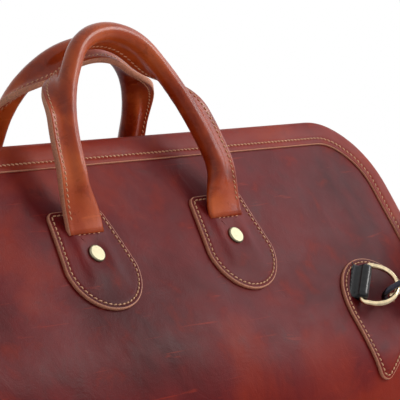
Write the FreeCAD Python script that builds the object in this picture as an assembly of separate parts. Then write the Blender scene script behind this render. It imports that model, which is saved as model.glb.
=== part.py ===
import FreeCAD, Part
import os
from math import sin, cos, tan, radians, pi, sqrt
from FreeCAD import Vector

# Duffel bag. X runs along the bag, -Y is its front, +Z is up.
# The origin is on the floor under the middle of the base, between the metal feet.

# ---- driving dimensions, in millimetres and degrees ----
HALF_LENGTH = 284.0        # half of the body's length
TOP_Z = 300.0              # top edge of the two panels
FOOT_HEIGHT = 8.0          # the metal feet hold the base this far off the floor
TOP_HALF_DEPTH = 20.0      # panel's top edge from the middle plane
LEAN = 29.2                # the upper part of a panel leans in by this
BEND_Z = 165.0             # below this the leaning part curves down to upright
BEND_RADIUS = 180.0
BASE_EDGE_RADIUS = 30.0    # long lower edges of the body
TOP_CORNER_RADIUS = 58.0   # rounded upper corners of the panels
BASE_CORNER_RADIUS = 40.0  # lower corners of the panels
LEATHER = 2.4              # panels, gussets and base
LINING = 0.8
BOOT_HEIGHT = 36.0         # the base leather comes this far up the sides
BOARD = 4.0                # stiffener in the base
BINDING = 1.6              # edge binding
BINDING_WIDTH = 18.0       # on the face of a panel
BINDING_WRAP = 3.3         # over the edge, measured in from the face

ZIP_HALF = 236.0           # half of the zip's opening in the top
STATION = 22.0             # fixed length at each end, where the slider parks
FLAP_OUTER_Y = 15.2        # outer edge of a zip facing
FACING = 1.6
FACING_INNER_Y = 7.0
TAPE = 0.7
TAPE_OUTER_Y = 14.0
TAPE_INNER_Y = 4.4
TEETH_INNER_Y = 1.2        # the two rows lie this far from the middle when open
TOOTH_PITCH = 5.0
TOOTH_LENGTH = 2.6
TOOTH_HEIGHT = 2.3
SLIDER_LENGTH = 14.0
SLIDER_WIDTH = 13.0
SLIDER_PLATE = 1.6
SLIDER_GAP = 0.3           # slider to what it runs on
PULL_LENGTH = 46.0
PULL_WIDTH = 10.0
PULL_THICKNESS = 2.4

HANDLE_SPACING = 149.0     # between the two rivets of a handle
RIVET_DOWN = 95.0          # rivet below the top edge, along the panel
SLIT_DOWN = 78.0           # slit that the handle's tongue goes through
HANDLE_DOWN = 64.0         # upper end of the tongue
FOOT_LAP = 5.0             # the handle's foot lies this far down over the tongue
SEAT_GAP = 0.3             # handle to tongue, and hook to ring
ROLL_RADIUS = 6.0          # rolled part of a handle
CORE_RADIUS = 3.6          # rope inside it
FLANGE_WIDTH = 15.0        # stitched edge beyond the roll's middle
FLANGE = 4.4
FRONT_SIDE_RADIUS = 200.0  # front handle, pointed arch
FRONT_SIDE_ANGLE = 37.0
FRONT_TILT = 11.0
BACK_SIDE_RADIUS = 640.0   # back handle, squarer arch
BACK_SIDE_ANGLE = 6.6
BACK_TILT = 29.2
TONGUE_WIDTH = 33.0
TONGUE = 2.4
TONGUE_SKIVED = 1.4
TONGUE_END_DOWN = 118.0

PATCH = 2.8
PATCH_TOP = 38.0           # above the rivet, along the panel
PATCH_BOTTOM = 46.0        # below the rivet
PATCH_TOP_HALF = 28.0
PATCH_WIDE_HALF = 35.0
PATCH_CORNER = 7.0
RIVET_CAP_RADIUS = 7.0
RIVET_CAP = 2.4
RIVET_POST_RADIUS = 2.0
RIVET_BURR_RADIUS = 5.5
RIVET_BURR = 1.2

RING_X = 196.0             # middle of the ring patch
RING_Z = 146.0
RING_PATCH_TILT = 19.0     # the patch leans towards the end of the bag
RING_PATCH_RADIUS = 38.0
RING_PATCH_RISE = 6.0      # round end's middle above the patch's middle
RING_PATCH_TIP = 60.0
RING_PATCH_TIP_RADIUS = 8.0
LOOP_ALONG = 17.0          # loop's middle on the patch, along its axis
LOOP_ACROSS = -19.0
LOOP_TILT = 40.0           # loop and ring bar from upright
LOOP_END_GAP = 0.5         # loop's end to where the ring's bar starts to bend
LOOP_WALL = 3.0
LOOP_TAIL = 13.0
RING_WIRE = 2.1            # radius of the ring's wire
RING_FIT = 0.06
RING_HALF_WIDTH = 19.0
RING_STRAIGHT = 8.0
RING_CORNER = 4.0
RING_STAND = 35.0          # the ring stands off the panel by this
LOOP_LENGTH = 2 * (RING_HALF_WIDTH - RING_CORNER - LOOP_END_GAP)

HOOK_ON_RING = 5.0         # where the hook holds the ring, round its bow
HOOK_WIRE = 2.3
HOOK_RADIUS = 6.8          # middle line of the hook's bow, half its width
HOOK_STRAIGHT = 5.0        # half of the bow's straight side
HOOK_SHIFT = -1.5          # bow's middle from the ring's wire
BARREL_RADIUS = 5.0
BARREL_LENGTH = 14.0
POST_RADIUS = 2.0
POST_LENGTH = 5.0
EYE_WIRE = 2.0
EYE_SLOT = 9.0
TAB_LENGTH = 34.0          # leather tab that holds the strap's end in the eye
TAB = 8.0
TAB_OVERLAP = 4.0          # the tab fills the eye's slot by this
HOOK_TIP_ANGLE = 60.0      # the bow goes this far past its end
GATE_RADIUS = 1.7
GATE_FIT = 0.06
GATE_START = 3.6           # gate's end from the bow's tip
KNOB_RADIUS = 2.6
KNOB_LENGTH = 6.0
TRIGGER_TRAVEL = 6.0

STRAP_WIDTH = 38.0
STRAP = 2.6
STRAP_FIRST_RUN = 34.0     # straight out of the tab
PAD_LENGTH = 210.0
PAD_WIDTH = 58.0
PAD = 12.0
BUCKLE_LENGTH = 30.0
BUCKLE_WIDTH = 48.0
BUCKLE = 8.0
KEEPER_LENGTH = 14.0
KEEPER_WIDTH = 44.0
KEEPER = 7.0
PAD_X = 60.0               # pad, buckle and keeper where they lie behind the bag
BUCKLE_X = -110.0
KEEPER_X = -74.0
STRAP_Y = 172.0
FLOOR_GAP = 0.4
STRAP_Z = PAD_WIDTH / 2 + FLOOR_GAP
STUD_RADIUS = 8.0
STUD_BEVEL = 2.0
STUD_X = 225.0
STUD_Y = 80.0
FAR = 400.0                # longer than any cut has to be

# ---- values worked out from them ----
lean = radians(LEAN)
seam_z = FOOT_HEIGHT + BOOT_HEIGHT
bend_foot_z = BEND_Z - BEND_RADIUS * sin(lean)
bend_top_y = TOP_HALF_DEPTH + (TOP_Z - BEND_Z) * tan(lean)
half_depth = bend_top_y + BEND_RADIUS * (1 - cos(lean))
bend_y = half_depth - BEND_RADIUS
FRONT_WAY = Vector(0, -cos(lean), sin(lean))


def turned(shape):
    """The same piece on the back, half a turn about the upright axis."""
    copy = shape.copy()
    copy.rotate(Vector(0, 0, 0), Vector(0, 0, 1), 180)
    return copy


def save(name, shape):
    if not shape.isValid():
        print("not valid:", name)
    shape.exportStep("parts/%s.step" % name)
    print("%-24s solids %3d  volume %10.1f mm3" % (name, len(shape.Solids), shape.Volume))


def box(x0, x1, y0, y1, z0, z1):
    return Part.makeBox(x1 - x0, y1 - y0, z1 - z0, Vector(x0, y0, z0))


def line(a, b):
    return Part.LineSegment(a, b).toShape()


def arc(a, middle, b):
    return Part.Arc(a, middle, b).toShape()


def on_circle(y, z, radius, angle):
    return Vector(0, y + radius * cos(angle), z + radius * sin(angle))


def depth_at(z):
    """Half of the body's depth at a height."""
    if z >= BEND_Z:
        return TOP_HALF_DEPTH + (TOP_Z - z) * tan(lean)
    if z >= bend_foot_z:
        return bend_y + sqrt(BEND_RADIUS ** 2 - (z - bend_foot_z) ** 2)
    return half_depth


def side_profile(grow):
    """Closed YZ section of the body, moved out by grow, and left open above the top."""
    above = TOP_Z + 18.0
    big = BEND_RADIUS + grow
    small = BASE_EDGE_RADIUS + grow
    low_y = half_depth - BASE_EDGE_RADIUS
    low_z = FOOT_HEIGHT + BASE_EDGE_RADIUS
    knee = on_circle(bend_y, bend_foot_z, big, lean)
    peak = Vector(0, knee.y - (above - knee.z) * tan(lean), above)
    points = [
        peak,
        knee,
        on_circle(bend_y, bend_foot_z, big, lean / 2),
        on_circle(bend_y, bend_foot_z, big, 0),
        on_circle(low_y, low_z, small, 0),
        on_circle(low_y, low_z, small, -pi / 4),
        on_circle(low_y, low_z, small, -pi / 2),
    ]
    other = [Vector(0, -p.y, p.z) for p in points]
    edges = []
    for p in (points, other):
        edges += [line(p[0], p[1]), arc(p[1], p[2], p[3]), line(p[3], p[4]), arc(p[4], p[5], p[6])]
    edges += [line(points[0], other[0]), line(points[6], other[6])]
    return Part.Wire(Part.__sortEdges__(edges))


def side_solid(grow):
    face = Part.Face(side_profile(grow))
    face.translate(Vector(-FAR, 0, 0))
    return face.extrude(Vector(2 * FAR, 0, 0))


def corner(x, z, radius, start):
    """Three points of a quarter arc in the XZ plane."""
    angles = (start, start + pi / 4, start + pi / 2)
    return [Vector(x + radius * cos(a), 0, z + radius * sin(a)) for a in angles]


def end_solid(grow):
    """The body's XZ outline, moved out by grow and drawn through the whole depth."""
    top = TOP_CORNER_RADIUS + grow
    low = BASE_CORNER_RADIUS + grow
    tx = HALF_LENGTH - TOP_CORNER_RADIUS
    tz = TOP_Z - TOP_CORNER_RADIUS
    lx = HALF_LENGTH - BASE_CORNER_RADIUS
    lz = FOOT_HEIGHT + BASE_CORNER_RADIUS
    arcs = [
        corner(tx, tz, top, 0),
        corner(-tx, tz, top, pi / 2),
        corner(-lx, lz, low, pi),
        corner(lx, lz, low, 3 * pi / 2),
    ]
    edges = []
    for i in range(4):
        edges.append(arc(*arcs[i]))
        edges.append(line(arcs[i][2], arcs[(i + 1) % 4][0]))
    face = Part.Face(Part.Wire(edges))
    face.translate(Vector(0, -FAR, 0))
    return face.extrude(Vector(0, 2 * FAR, 0))


SIDE_OUT = side_solid(0)
SIDE_IN = side_solid(-LEATHER)
END_OUT = end_solid(0)
END_IN = end_solid(-LEATHER)
FRONT_HALF = box(-FAR, FAR, -FAR, 0, -FAR, FAR)
ABOVE_SEAM = box(-FAR, FAR, -FAR, FAR, seam_z, FAR)


def layer(inner, outer):
    """The front skin between two distances from the panel's face."""
    return side_solid(outer).cut(side_solid(inner)).common(FRONT_HALF)


# ---- body ----
def front_panel():
    skin = SIDE_OUT.cut(SIDE_IN).common(END_OUT)
    return skin.common(FRONT_HALF).common(ABOVE_SEAM)


def gusset():
    """Right end: up the side, round the upper corner and up to the zip."""
    skin = END_OUT.cut(END_IN).common(SIDE_IN).common(ABOVE_SEAM)
    skin = skin.common(box(ZIP_HALF - STATION, FAR, -FAR, FAR, 0, FAR))
    half_notch = FACING_INNER_Y - 1.0
    notch = box(0, ZIP_HALF, -half_notch, half_notch, TOP_Z - 20, TOP_Z + 1)
    return skin.cut(notch)


def base_panel():
    whole = SIDE_OUT.common(END_OUT)
    hollow = SIDE_IN.common(END_IN)
    return whole.cut(hollow).cut(ABOVE_SEAM)


def base_board():
    slab = box(-FAR, FAR, -FAR, FAR, FOOT_HEIGHT + LEATHER, FOOT_HEIGHT + LEATHER + BOARD)
    return SIDE_IN.common(END_IN).common(slab)


def lining():
    outer = SIDE_IN.common(END_IN)
    inner = side_solid(-LEATHER - LINING).common(end_solid(-LEATHER - LINING))
    low = FOOT_HEIGHT + LEATHER + BOARD
    high = TOP_Z - 12.0
    return outer.cut(inner).common(box(-FAR, FAR, -FAR, FAR, low, high))


def front_binding():
    """Bound edge of the front panel: a band on the face that wraps over the edge."""
    ring = end_solid(BINDING).cut(end_solid(-BINDING_WIDTH))
    band = side_solid(BINDING).cut(SIDE_OUT).common(ring)
    rim = end_solid(BINDING).cut(END_OUT)
    wrap = rim.common(side_solid(BINDING)).cut(side_solid(-BINDING_WRAP))
    return band.fuse(wrap).common(FRONT_HALF).common(ABOVE_SEAM).removeSplitter()


def base_stud(x, y):
    """Metal foot: a flat disc with a bevelled lower edge."""
    disc = Part.makeCylinder(STUD_RADIUS, FOOT_HEIGHT, Vector(x, y, 0))
    return disc.makeChamfer(STUD_BEVEL, [e for e in disc.Edges if e.BoundBox.ZMax < 0.1])


# ---- zip ----
flap_end = ZIP_HALF - STATION - 0.5
teeth_top = TOP_Z - 0.1


def front_facing():
    return box(-flap_end, flap_end, -FLAP_OUTER_Y, -FACING_INNER_Y, TOP_Z - FACING, TOP_Z)


def front_tape():
    high = TOP_Z - FACING
    return box(-flap_end, flap_end, -TAPE_OUTER_Y, -TAPE_INNER_Y, high - TAPE, high)


def front_teeth():
    """Row of metal teeth on the tape's inner edge."""
    count = int(2 * flap_end / TOOTH_PITCH)
    first = -count * TOOTH_PITCH / 2
    tooth = box(0, TOOTH_LENGTH, -TAPE_INNER_Y, -TEETH_INNER_Y, teeth_top - TOOTH_HEIGHT, teeth_top)
    teeth = []
    for i in range(count):
        copy = tooth.copy()
        copy.translate(Vector(first + i * TOOTH_PITCH, 0, 0))
        teeth.append(copy)
    return Part.makeCompound(teeth)


def zip_slider():
    """Two plates joined by a post between the rows, parked at one end."""
    x0 = ZIP_HALF - STATION + 1.0
    x1 = x0 + SLIDER_LENGTH
    half = SLIDER_WIDTH / 2
    low = TOP_Z - FACING - TAPE - 0.6
    top = TOP_Z + SLIDER_GAP
    upper = box(x0, x1, -half, half, top, top + SLIDER_PLATE)
    lower = box(x0, x1, -half + 1.5, half - 1.5, low - SLIDER_PLATE, low)
    post = box(x0 + 4, x1 - 4, -0.8, 0.8, low - SLIDER_PLATE, top + SLIDER_PLATE)
    hole = Part.makeCylinder(1.1, 8, Vector(x0 + 4, -4, top + SLIDER_PLATE + 2.4), Vector(0, 1, 0))
    bridge = box(x0 + 1.2, x0 + 6.8, -2.2, 2.2, top + SLIDER_PLATE, top + SLIDER_PLATE + 4.6)
    return upper.fuse([lower, post, bridge]).cut(hole).removeSplitter()


def zip_pull():
    """Pin through the slider's lug and a leather pull lying towards the end."""
    x0 = ZIP_HALF - STATION + 1.0 + 4
    z = TOP_Z + SLIDER_GAP + SLIDER_PLATE + 2.4
    half = PULL_WIDTH / 2
    pin = Part.makeCylinder(1.05, 2 * half, Vector(x0, -half, z), Vector(0, 1, 0))
    arms = []
    for y in (-half, half - 2.0):
        arms.append(box(x0 - 1.4, x0 + 8, y, y + 2.0, z - 1.2, z + 1.2))
    tab = box(x0 + 6, x0 + PULL_LENGTH, -half, half, z - PULL_THICKNESS / 2, z + PULL_THICKNESS / 2)
    return pin.fuse(arms + [tab]).removeSplitter()


# ---- handle feet ----
def panel_place(x, down):
    """Placement on the leaning part of the front panel: X along, Y up the panel, Z out of it."""
    y = -(TOP_HALF_DEPTH + down * sin(lean))
    z = TOP_Z - down * cos(lean)
    turn = FreeCAD.Rotation(Vector(1, 0, 0), Vector(0, sin(lean), cos(lean)), FRONT_WAY, "ZXY")
    return FreeCAD.Placement(Vector(x, y, z), turn)


def patch_outline():
    """Patch seen square on, with the rivet at the origin."""
    t, w, r = PATCH_TOP_HALF, PATCH_WIDE_HALF, PATCH_CORNER
    turn_z = PATCH_WIDE_HALF - PATCH_BOTTOM
    a = r * (1 - 0.7071)
    return Part.Wire([
        line(Vector(-t + r, PATCH_TOP, 0), Vector(t - r, PATCH_TOP, 0)),
        arc(Vector(t - r, PATCH_TOP, 0), Vector(t - a, PATCH_TOP - a, 0), Vector(t, PATCH_TOP - r, 0)),
        line(Vector(t, PATCH_TOP - r, 0), Vector(w, turn_z, 0)),
        arc(Vector(w, turn_z, 0), Vector(0, -PATCH_BOTTOM, 0), Vector(-w, turn_z, 0)),
        line(Vector(-w, turn_z, 0), Vector(-t, PATCH_TOP - r, 0)),
        arc(Vector(-t, PATCH_TOP - r, 0), Vector(-t + a, PATCH_TOP - a, 0), Vector(-t + r, PATCH_TOP, 0)),
    ])


def prism(wire, low, high):
    face = Part.Face(wire)
    face.translate(Vector(0, 0, low))
    return face.extrude(Vector(0, 0, high - low))


def flat_block(half, down0, down1, low, high):
    """Block on the panel, between two distances down from the rivet's height."""
    return box(-half, half, RIVET_DOWN - down1, RIVET_DOWN - down0, low, high)


def tongue_flat():
    """The handle's end: skived under the patch, through the slit, and full on top of it."""
    half = TONGUE_WIDTH / 2
    under = flat_block(half, SLIT_DOWN, TONGUE_END_DOWN, 0, TONGUE_SKIVED)
    through = flat_block(half, SLIT_DOWN, SLIT_DOWN + 2.4, 0, PATCH + TONGUE)
    over = flat_block(half, HANDLE_DOWN, SLIT_DOWN + 2.4, PATCH, PATCH + TONGUE)
    return under.fuse([through, over]).removeSplitter()


def rivet_flat():
    top = PATCH
    cap = Part.makeCylinder(RIVET_CAP_RADIUS, RIVET_CAP, Vector(0, 0, top))
    cap = cap.makeFillet(RIVET_CAP * 0.6, [e for e in cap.Edges if e.BoundBox.ZMin > top + 1])
    post = Part.makeCylinder(RIVET_POST_RADIUS, PATCH + LEATHER + LINING, Vector(0, 0, -LEATHER - LINING))
    burr = Part.makeCylinder(RIVET_BURR_RADIUS, RIVET_BURR, Vector(0, 0, -LEATHER - LINING - RIVET_BURR))
    return cap.fuse([post, burr]).removeSplitter()


def handle_foot(x):
    """Patch, tongue and rivet at one foot of the front handle, in place."""
    where = panel_place(x, RIVET_DOWN)
    tongue = tongue_flat()
    rivet = rivet_flat()
    patch = prism(patch_outline(), 0, PATCH).cut(tongue).cut(rivet)
    tongue = tongue.cut(rivet)
    pieces = []
    for piece in (patch, tongue, rivet):
        piece.Placement = where
        pieces.append(piece)
    return pieces


# ---- handles ----
def arch_points(side_radius, side_angle):
    """Right half of a three-centred arch, from the foot at height 0 to the top."""
    half = HANDLE_SPACING / 2
    a = radians(side_angle)
    join = Vector(half - side_radius * (1 - cos(a)), side_radius * sin(a), 0)
    middle = Vector(half - side_radius * (1 - cos(a / 2)), side_radius * sin(a / 2), 0)
    top_radius = join.x / cos(a)
    centre_y = join.y - top_radius * sin(a)
    top = Vector(0, centre_y + top_radius, 0)
    b = (a + pi / 2) / 2
    shoulder = Vector(top_radius * cos(b), centre_y + top_radius * sin(b), 0)
    return [Vector(half, 0, 0), middle, join, shoulder, top]


def arch_wire(side_radius, side_angle, shift):
    """Whole arch in the XY plane, at a height out of that plane."""
    right = [Vector(p.x, p.y, shift) for p in arch_points(side_radius, side_angle)]
    left = [Vector(-p.x, p.y, shift) for p in right]
    return Part.Wire([
        arc(right[0], right[1], right[2]),
        arc(right[2], Vector(0, right[4].y, shift), left[2]),
        arc(left[2], left[1], left[0]),
    ])


def arch_tube(side_radius, side_angle, radius):
    path = arch_wire(side_radius, side_angle, 0)
    start = Part.Wire(Part.makeCircle(radius, Vector(HANDLE_SPACING / 2, 0, 0), Vector(0, 1, 0)))
    return path.makePipeShell([start], True, True)


def arch_flange(side_radius, side_angle, inward):
    """Stitched edge along the roll: outwards on the legs, towards the other handle on top."""
    right = arch_points(side_radius, side_angle)
    half = FLANGE / 2
    near = ROLL_RADIUS - 1.0
    legs = []
    for side in (-1, 1):
        foot, middle, join = [Vector(side * p.x, p.y, 0) for p in right[:3]]
        x0 = foot.x + side * near
        x1 = foot.x + side * FLANGE_WIDTH
        corners = [Vector(x0, 0, -half), Vector(x1, 0, -half), Vector(x1, 0, half), Vector(x0, 0, half)]
        start = Part.makePolygon(corners + [corners[0]])
        legs.append(Part.Wire([arc(foot, middle, join)]).makePipeShell([start], True, True))
    join = right[2]
    way = Vector(join.x, join.y - (right[4].y - join.x / cos(radians(side_angle))), 0).normalize()
    z0, z1 = inward * near, inward * FLANGE_WIDTH
    corners = [join - way * half, join + way * half]
    order = ((corners[0], z0), (corners[1], z0), (corners[1], z1), (corners[0], z1))
    section = [Vector(c.x, c.y, z) for c, z in order]
    start = Part.makePolygon(section + [section[0]])
    top = Part.Wire([arc(join, Vector(0, right[4].y, 0), Vector(-join.x, join.y, 0))])
    return top.makePipeShell([start], True, True).fuse(legs)


def handle_place(front, tilt):
    """The arch's foot, just off the tongue. Its plane tilts towards the middle."""
    out = PATCH + TONGUE + ROLL_RADIUS + SEAT_GAP
    down = HANDLE_DOWN + FOOT_LAP
    y = TOP_HALF_DEPTH + down * sin(lean) + out * cos(lean)
    z = TOP_Z - down * cos(lean) + out * sin(lean)
    print("handle foot: y %.2f, z %.2f" % (y, z))
    side = -1 if front else 1
    t = radians(tilt)
    up = Vector(0, -side * sin(t), cos(t))
    turn = FreeCAD.Rotation(Vector(1, 0, 0), up, Vector(1, 0, 0).cross(up), "ZXY")
    return FreeCAD.Placement(Vector(0, side * y, z), turn)


def handle(front):
    """Rolled leather with its stitched edge, and the rope inside it."""
    if front:
        shape = (FRONT_SIDE_RADIUS, FRONT_SIDE_ANGLE)
        where = handle_place(True, FRONT_TILT)
        inward = -1
    else:
        shape = (BACK_SIDE_RADIUS, BACK_SIDE_ANGLE)
        where = handle_place(False, BACK_TILT)
        inward = 1
    roll = arch_tube(*shape, ROLL_RADIUS)
    core = arch_tube(*shape, CORE_RADIUS)
    flange = arch_flange(*shape, inward)
    leather = roll.fuse(flange).cut(core).removeSplitter()
    leather.Placement = where
    core.Placement = where
    return leather, core


# ---- rings ----
slope = (RING_Z - bend_foot_z) / BEND_RADIUS
RING_OUT = Vector(0, -sqrt(1 - slope ** 2), slope)
RING_UP = Vector(0, slope, sqrt(1 - slope ** 2))
RING_MIDDLE = Vector(RING_X, -depth_at(RING_Z), RING_Z)


def ring_direction(tilt):
    """Direction on the panel at the ring, turned from upright towards the bag's end."""
    t = radians(tilt)
    return RING_UP * cos(t) + Vector(1, 0, 0) * sin(t)


def frame_at(origin, x_way, z_way):
    turn = FreeCAD.Rotation(x_way, z_way.cross(x_way), z_way, "ZXY")
    return FreeCAD.Placement(origin, turn)


def teardrop():
    """Round above, drawn to a rounded tip below. Local Y is up along the patch."""
    r, tip = RING_PATCH_RADIUS, RING_PATCH_TIP_RADIUS
    y1 = RING_PATCH_RISE
    y0 = -RING_PATCH_TIP + tip
    side = (r - tip) / (y1 - y0)
    c = sqrt(1 - side ** 2)
    big = Vector(r * c, y1 - r * side, 0)
    small = Vector(tip * c, y0 - tip * side, 0)
    return Part.Wire([
        arc(big, Vector(0, y1 + r, 0), Vector(-big.x, big.y, 0)),
        line(Vector(-big.x, big.y, 0), Vector(-small.x, small.y, 0)),
        arc(Vector(-small.x, small.y, 0), Vector(0, y0 - tip, 0), small),
        line(small, big),
    ])


patch_up = ring_direction(RING_PATCH_TILT)
patch_right = patch_up.cross(RING_OUT)
bar_way = ring_direction(LOOP_TILT)
bar_right = bar_way.cross(RING_OUT)
loop_middle = RING_MIDDLE + patch_up * LOOP_ALONG + patch_right * LOOP_ACROSS
loop_y = -depth_at(loop_middle.z)
roll_radius = RING_WIRE + RING_FIT + LOOP_WALL
BAR = Vector(loop_middle.x, loop_y, loop_middle.z) + RING_OUT * (PATCH + roll_radius + 0.4)
stand = radians(RING_STAND)
RING_WAY = bar_right * cos(stand) + RING_OUT * sin(stand)


def ring_patch():
    place = frame_at(RING_MIDDLE, patch_right, RING_OUT)
    block = prism(teardrop(), -30, 30)
    block.Placement = place
    return block.common(layer(0, PATCH))


def loop_block(across0, across1, out0, out1):
    """Block in the loop's frame: X across, Y along the bar, Z out of the panel."""
    half = LOOP_LENGTH / 2
    block = box(across0, across1, -half, half, out0, out1)
    block.Placement = frame_at(BAR, bar_right, RING_OUT)
    return block


def ring_loop():
    """Strip of leather rolled round the ring's bar, with its tail sewn down beside it."""
    start = BAR - bar_way * (LOOP_LENGTH / 2)
    roll = Part.makeCylinder(roll_radius, LOOP_LENGTH, start, bar_way)
    tail = loop_block(-LOOP_TAIL, 0, -roll_radius - 12, 0)
    tail = tail.cut(loop_block(-LOOP_TAIL - 1, -roll_radius - 1, -roll_radius + 4, 1))
    hole = Part.makeCylinder(RING_WIRE + RING_FIT, LOOP_LENGTH + 8, start - bar_way * 4, bar_way)
    whole = roll.fuse(tail).cut(hole).cut(side_solid(PATCH))
    return whole.removeSplitter()


def ring_path():
    w, s, c = RING_HALF_WIDTH, RING_STRAIGHT, RING_CORNER
    k = c * (1 - 0.7071)
    return Part.Wire([
        line(Vector(0, 0, 0), Vector(w - c, 0, 0)),
        arc(Vector(w - c, 0, 0), Vector(w - k, k, 0), Vector(w, c, 0)),
        line(Vector(w, c, 0), Vector(w, s, 0)),
        arc(Vector(w, s, 0), Vector(0, s + w, 0), Vector(-w, s, 0)),
        line(Vector(-w, s, 0), Vector(-w, c, 0)),
        arc(Vector(-w, c, 0), Vector(-w + k, k, 0), Vector(-w + c, 0, 0)),
        line(Vector(-w + c, 0, 0), Vector(0, 0, 0)),
    ])


def d_ring():
    """Wire ring: its bar on local X, its bow towards local Y."""
    start = Part.Wire(Part.makeCircle(RING_WIRE, Vector(0, 0, 0), Vector(1, 0, 0)))
    ring = ring_path().makePipeShell([start], True, True)
    ring.Placement = frame_at(BAR, bar_way, bar_way.cross(RING_WAY))
    return ring


# ---- snap hook on the ring ----
on_bow = radians(HOOK_ON_RING)
out_along = RING_STRAIGHT + RING_HALF_WIDTH * cos(on_bow)
held = BAR + RING_WAY * out_along + bar_way * (RING_HALF_WIDTH * sin(on_bow))
bow_way = RING_WAY * -sin(on_bow) + bar_way * cos(on_bow)
HOOK_WAY = Vector(0.90, -0.30, 0.32).normalize()
hook_flat = (bow_way - HOOK_WAY * bow_way.dot(HOOK_WAY)).normalize()
hook_side = hook_flat.cross(HOOK_WAY)
hook_side = hook_side if hook_side.z < 0 else hook_side * -1
hook_drop = HOOK_RADIUS - HOOK_WIRE - RING_WIRE - SEAT_GAP
HOOK = held + HOOK_WAY * HOOK_SHIFT + hook_side * hook_drop


r_hook = HOOK_RADIUS
tip = radians(HOOK_TIP_ANGLE)
gate_line = r_hook * sin(tip)
bow_end = HOOK_STRAIGHT + r_hook
barrel_foot = bow_end - 1.0
barrel_top = barrel_foot + BARREL_LENGTH


def hook_point(along, across):
    """Point in the hook's own plane, from the middle of its bow."""
    return HOOK + HOOK_WAY * along + hook_side * across


def bow_point(angle):
    """Point on one of the bow's two round ends; angles past a right angle are on the far end."""
    shift = HOOK_STRAIGHT if angle <= pi / 2 else -HOOK_STRAIGHT
    return hook_point(shift + r_hook * cos(angle), -r_hook * sin(angle))


def snap_hook():
    """Bow open at the gate, a barrel, and the guide that the gate slides in."""
    near = hook_point(HOOK_STRAIGHT, -r_hook)
    far = hook_point(-HOOK_STRAIGHT, -r_hook)
    last = bow_point(pi + tip)
    path = Part.Wire([
        arc(bow_point(0), bow_point(pi / 4), near),
        line(near, far),
        arc(far, bow_point(pi * 0.75), bow_point(pi)),
        arc(bow_point(pi), bow_point(pi + tip / 2), last),
    ])
    start = Part.Wire(Part.makeCircle(HOOK_WIRE, bow_point(0), hook_side))
    bow = path.makePipeShell([start], True, True)
    barrel = Part.makeCylinder(BARREL_RADIUS, BARREL_LENGTH, hook_point(barrel_foot, 0), HOOK_WAY)
    mouth = hook_point(barrel_foot, gate_line)
    guide = Part.makeCylinder(GATE_RADIUS + 1.3, BARREL_LENGTH, mouth, HOOK_WAY)
    bore = Part.makeCylinder(GATE_RADIUS + GATE_FIT, BARREL_LENGTH + 12, mouth - HOOK_WAY * 6, HOOK_WAY)
    well_foot = hook_point(barrel_top - POST_LENGTH, 0)
    well = Part.makeCylinder(POST_RADIUS + GATE_FIT, POST_LENGTH, well_foot, HOOK_WAY)
    return bow.fuse([barrel, guide]).cut(bore).cut(well).removeSplitter()


def trigger():
    """Gate pin that slides back into its guide, with a thumb knob."""
    first = GATE_START - HOOK_STRAIGHT - r_hook * cos(tip)
    last = barrel_top - TRIGGER_TRAVEL
    gate = Part.makeCylinder(GATE_RADIUS, last - first, hook_point(first, gate_line), HOOK_WAY)
    knob_at = first + KNOB_RADIUS + 1.0
    knob = Part.makeCylinder(KNOB_RADIUS, KNOB_LENGTH, hook_point(knob_at, gate_line), hook_side)
    return gate.fuse(knob).removeSplitter()


eye_foot = barrel_top + 0.4
strap_across = Vector(0, 0, 1).cross(HOOK_WAY).normalize()
strap_side = HOOK_WAY.cross(strap_across)


def eye_block(along0, along1, thick, half):
    """Block in the strap's frame, from the eye's foot: along, through and across the strap."""
    block = box(along0, along1, -half, half, -thick / 2, thick / 2)
    block.Placement = frame_at(hook_point(eye_foot, 0), HOOK_WAY, strap_across)
    return block


def hook_eye():
    """Swivel post and the rectangular eye for the strap."""
    post_foot = hook_point(eye_foot - POST_LENGTH, 0)
    post = Part.makeCylinder(POST_RADIUS, POST_LENGTH + 1.0, post_foot, HOOK_WAY)
    half = STRAP_WIDTH / 2 + 1.0
    outer = eye_block(0, EYE_SLOT + 2 * EYE_WIRE, 2 * EYE_WIRE, half + EYE_WIRE)
    slot = eye_block(EYE_WIRE, EYE_WIRE + EYE_SLOT, 4 * EYE_WIRE, half)
    return outer.cut(slot).fuse(post).removeSplitter()


def strap_tab():
    """Leather folded through the eye and riveted on the strap's end."""
    first = EYE_SLOT + EYE_WIRE - TAB_OVERLAP
    block = eye_block(first, first + TAB_LENGTH, TAB, STRAP_WIDTH / 2)
    return block.cut(hook_eye())


# ---- shoulder strap ----
strap_start = hook_point(eye_foot + EYE_SLOT + EYE_WIRE - TAB_OVERLAP + TAB_LENGTH, 0)
strap_end = Vector(-strap_start.x, -strap_start.y, strap_start.z)


def strap_points():
    """Route of the strap: round the right end, along the floor behind the bag, and back."""
    rise = HOOK_WAY * STRAP_FIRST_RUN
    fall = Vector(-rise.x, -rise.y, rise.z)
    return [
        strap_start,
        strap_start + rise,
        Vector(338, -128, 236),
        Vector(364, -72, 214),
        Vector(368, 0, 158),
        Vector(352, 72, 92),
        Vector(316, 128, 46),
        Vector(256, 162, 31),
        Vector(172, STRAP_Y - 2, STRAP_Z),
        Vector(-10, STRAP_Y + 1, STRAP_Z),
        Vector(-150, STRAP_Y, STRAP_Z - 2),
        Vector(-236, 186, 26),
        Vector(-306, 212, 44),
        Vector(-352, 214, 92),
        Vector(-366, 190, 150),
        Vector(-352, 160, 210),
        strap_end + fall,
        strap_end,
    ]


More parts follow.
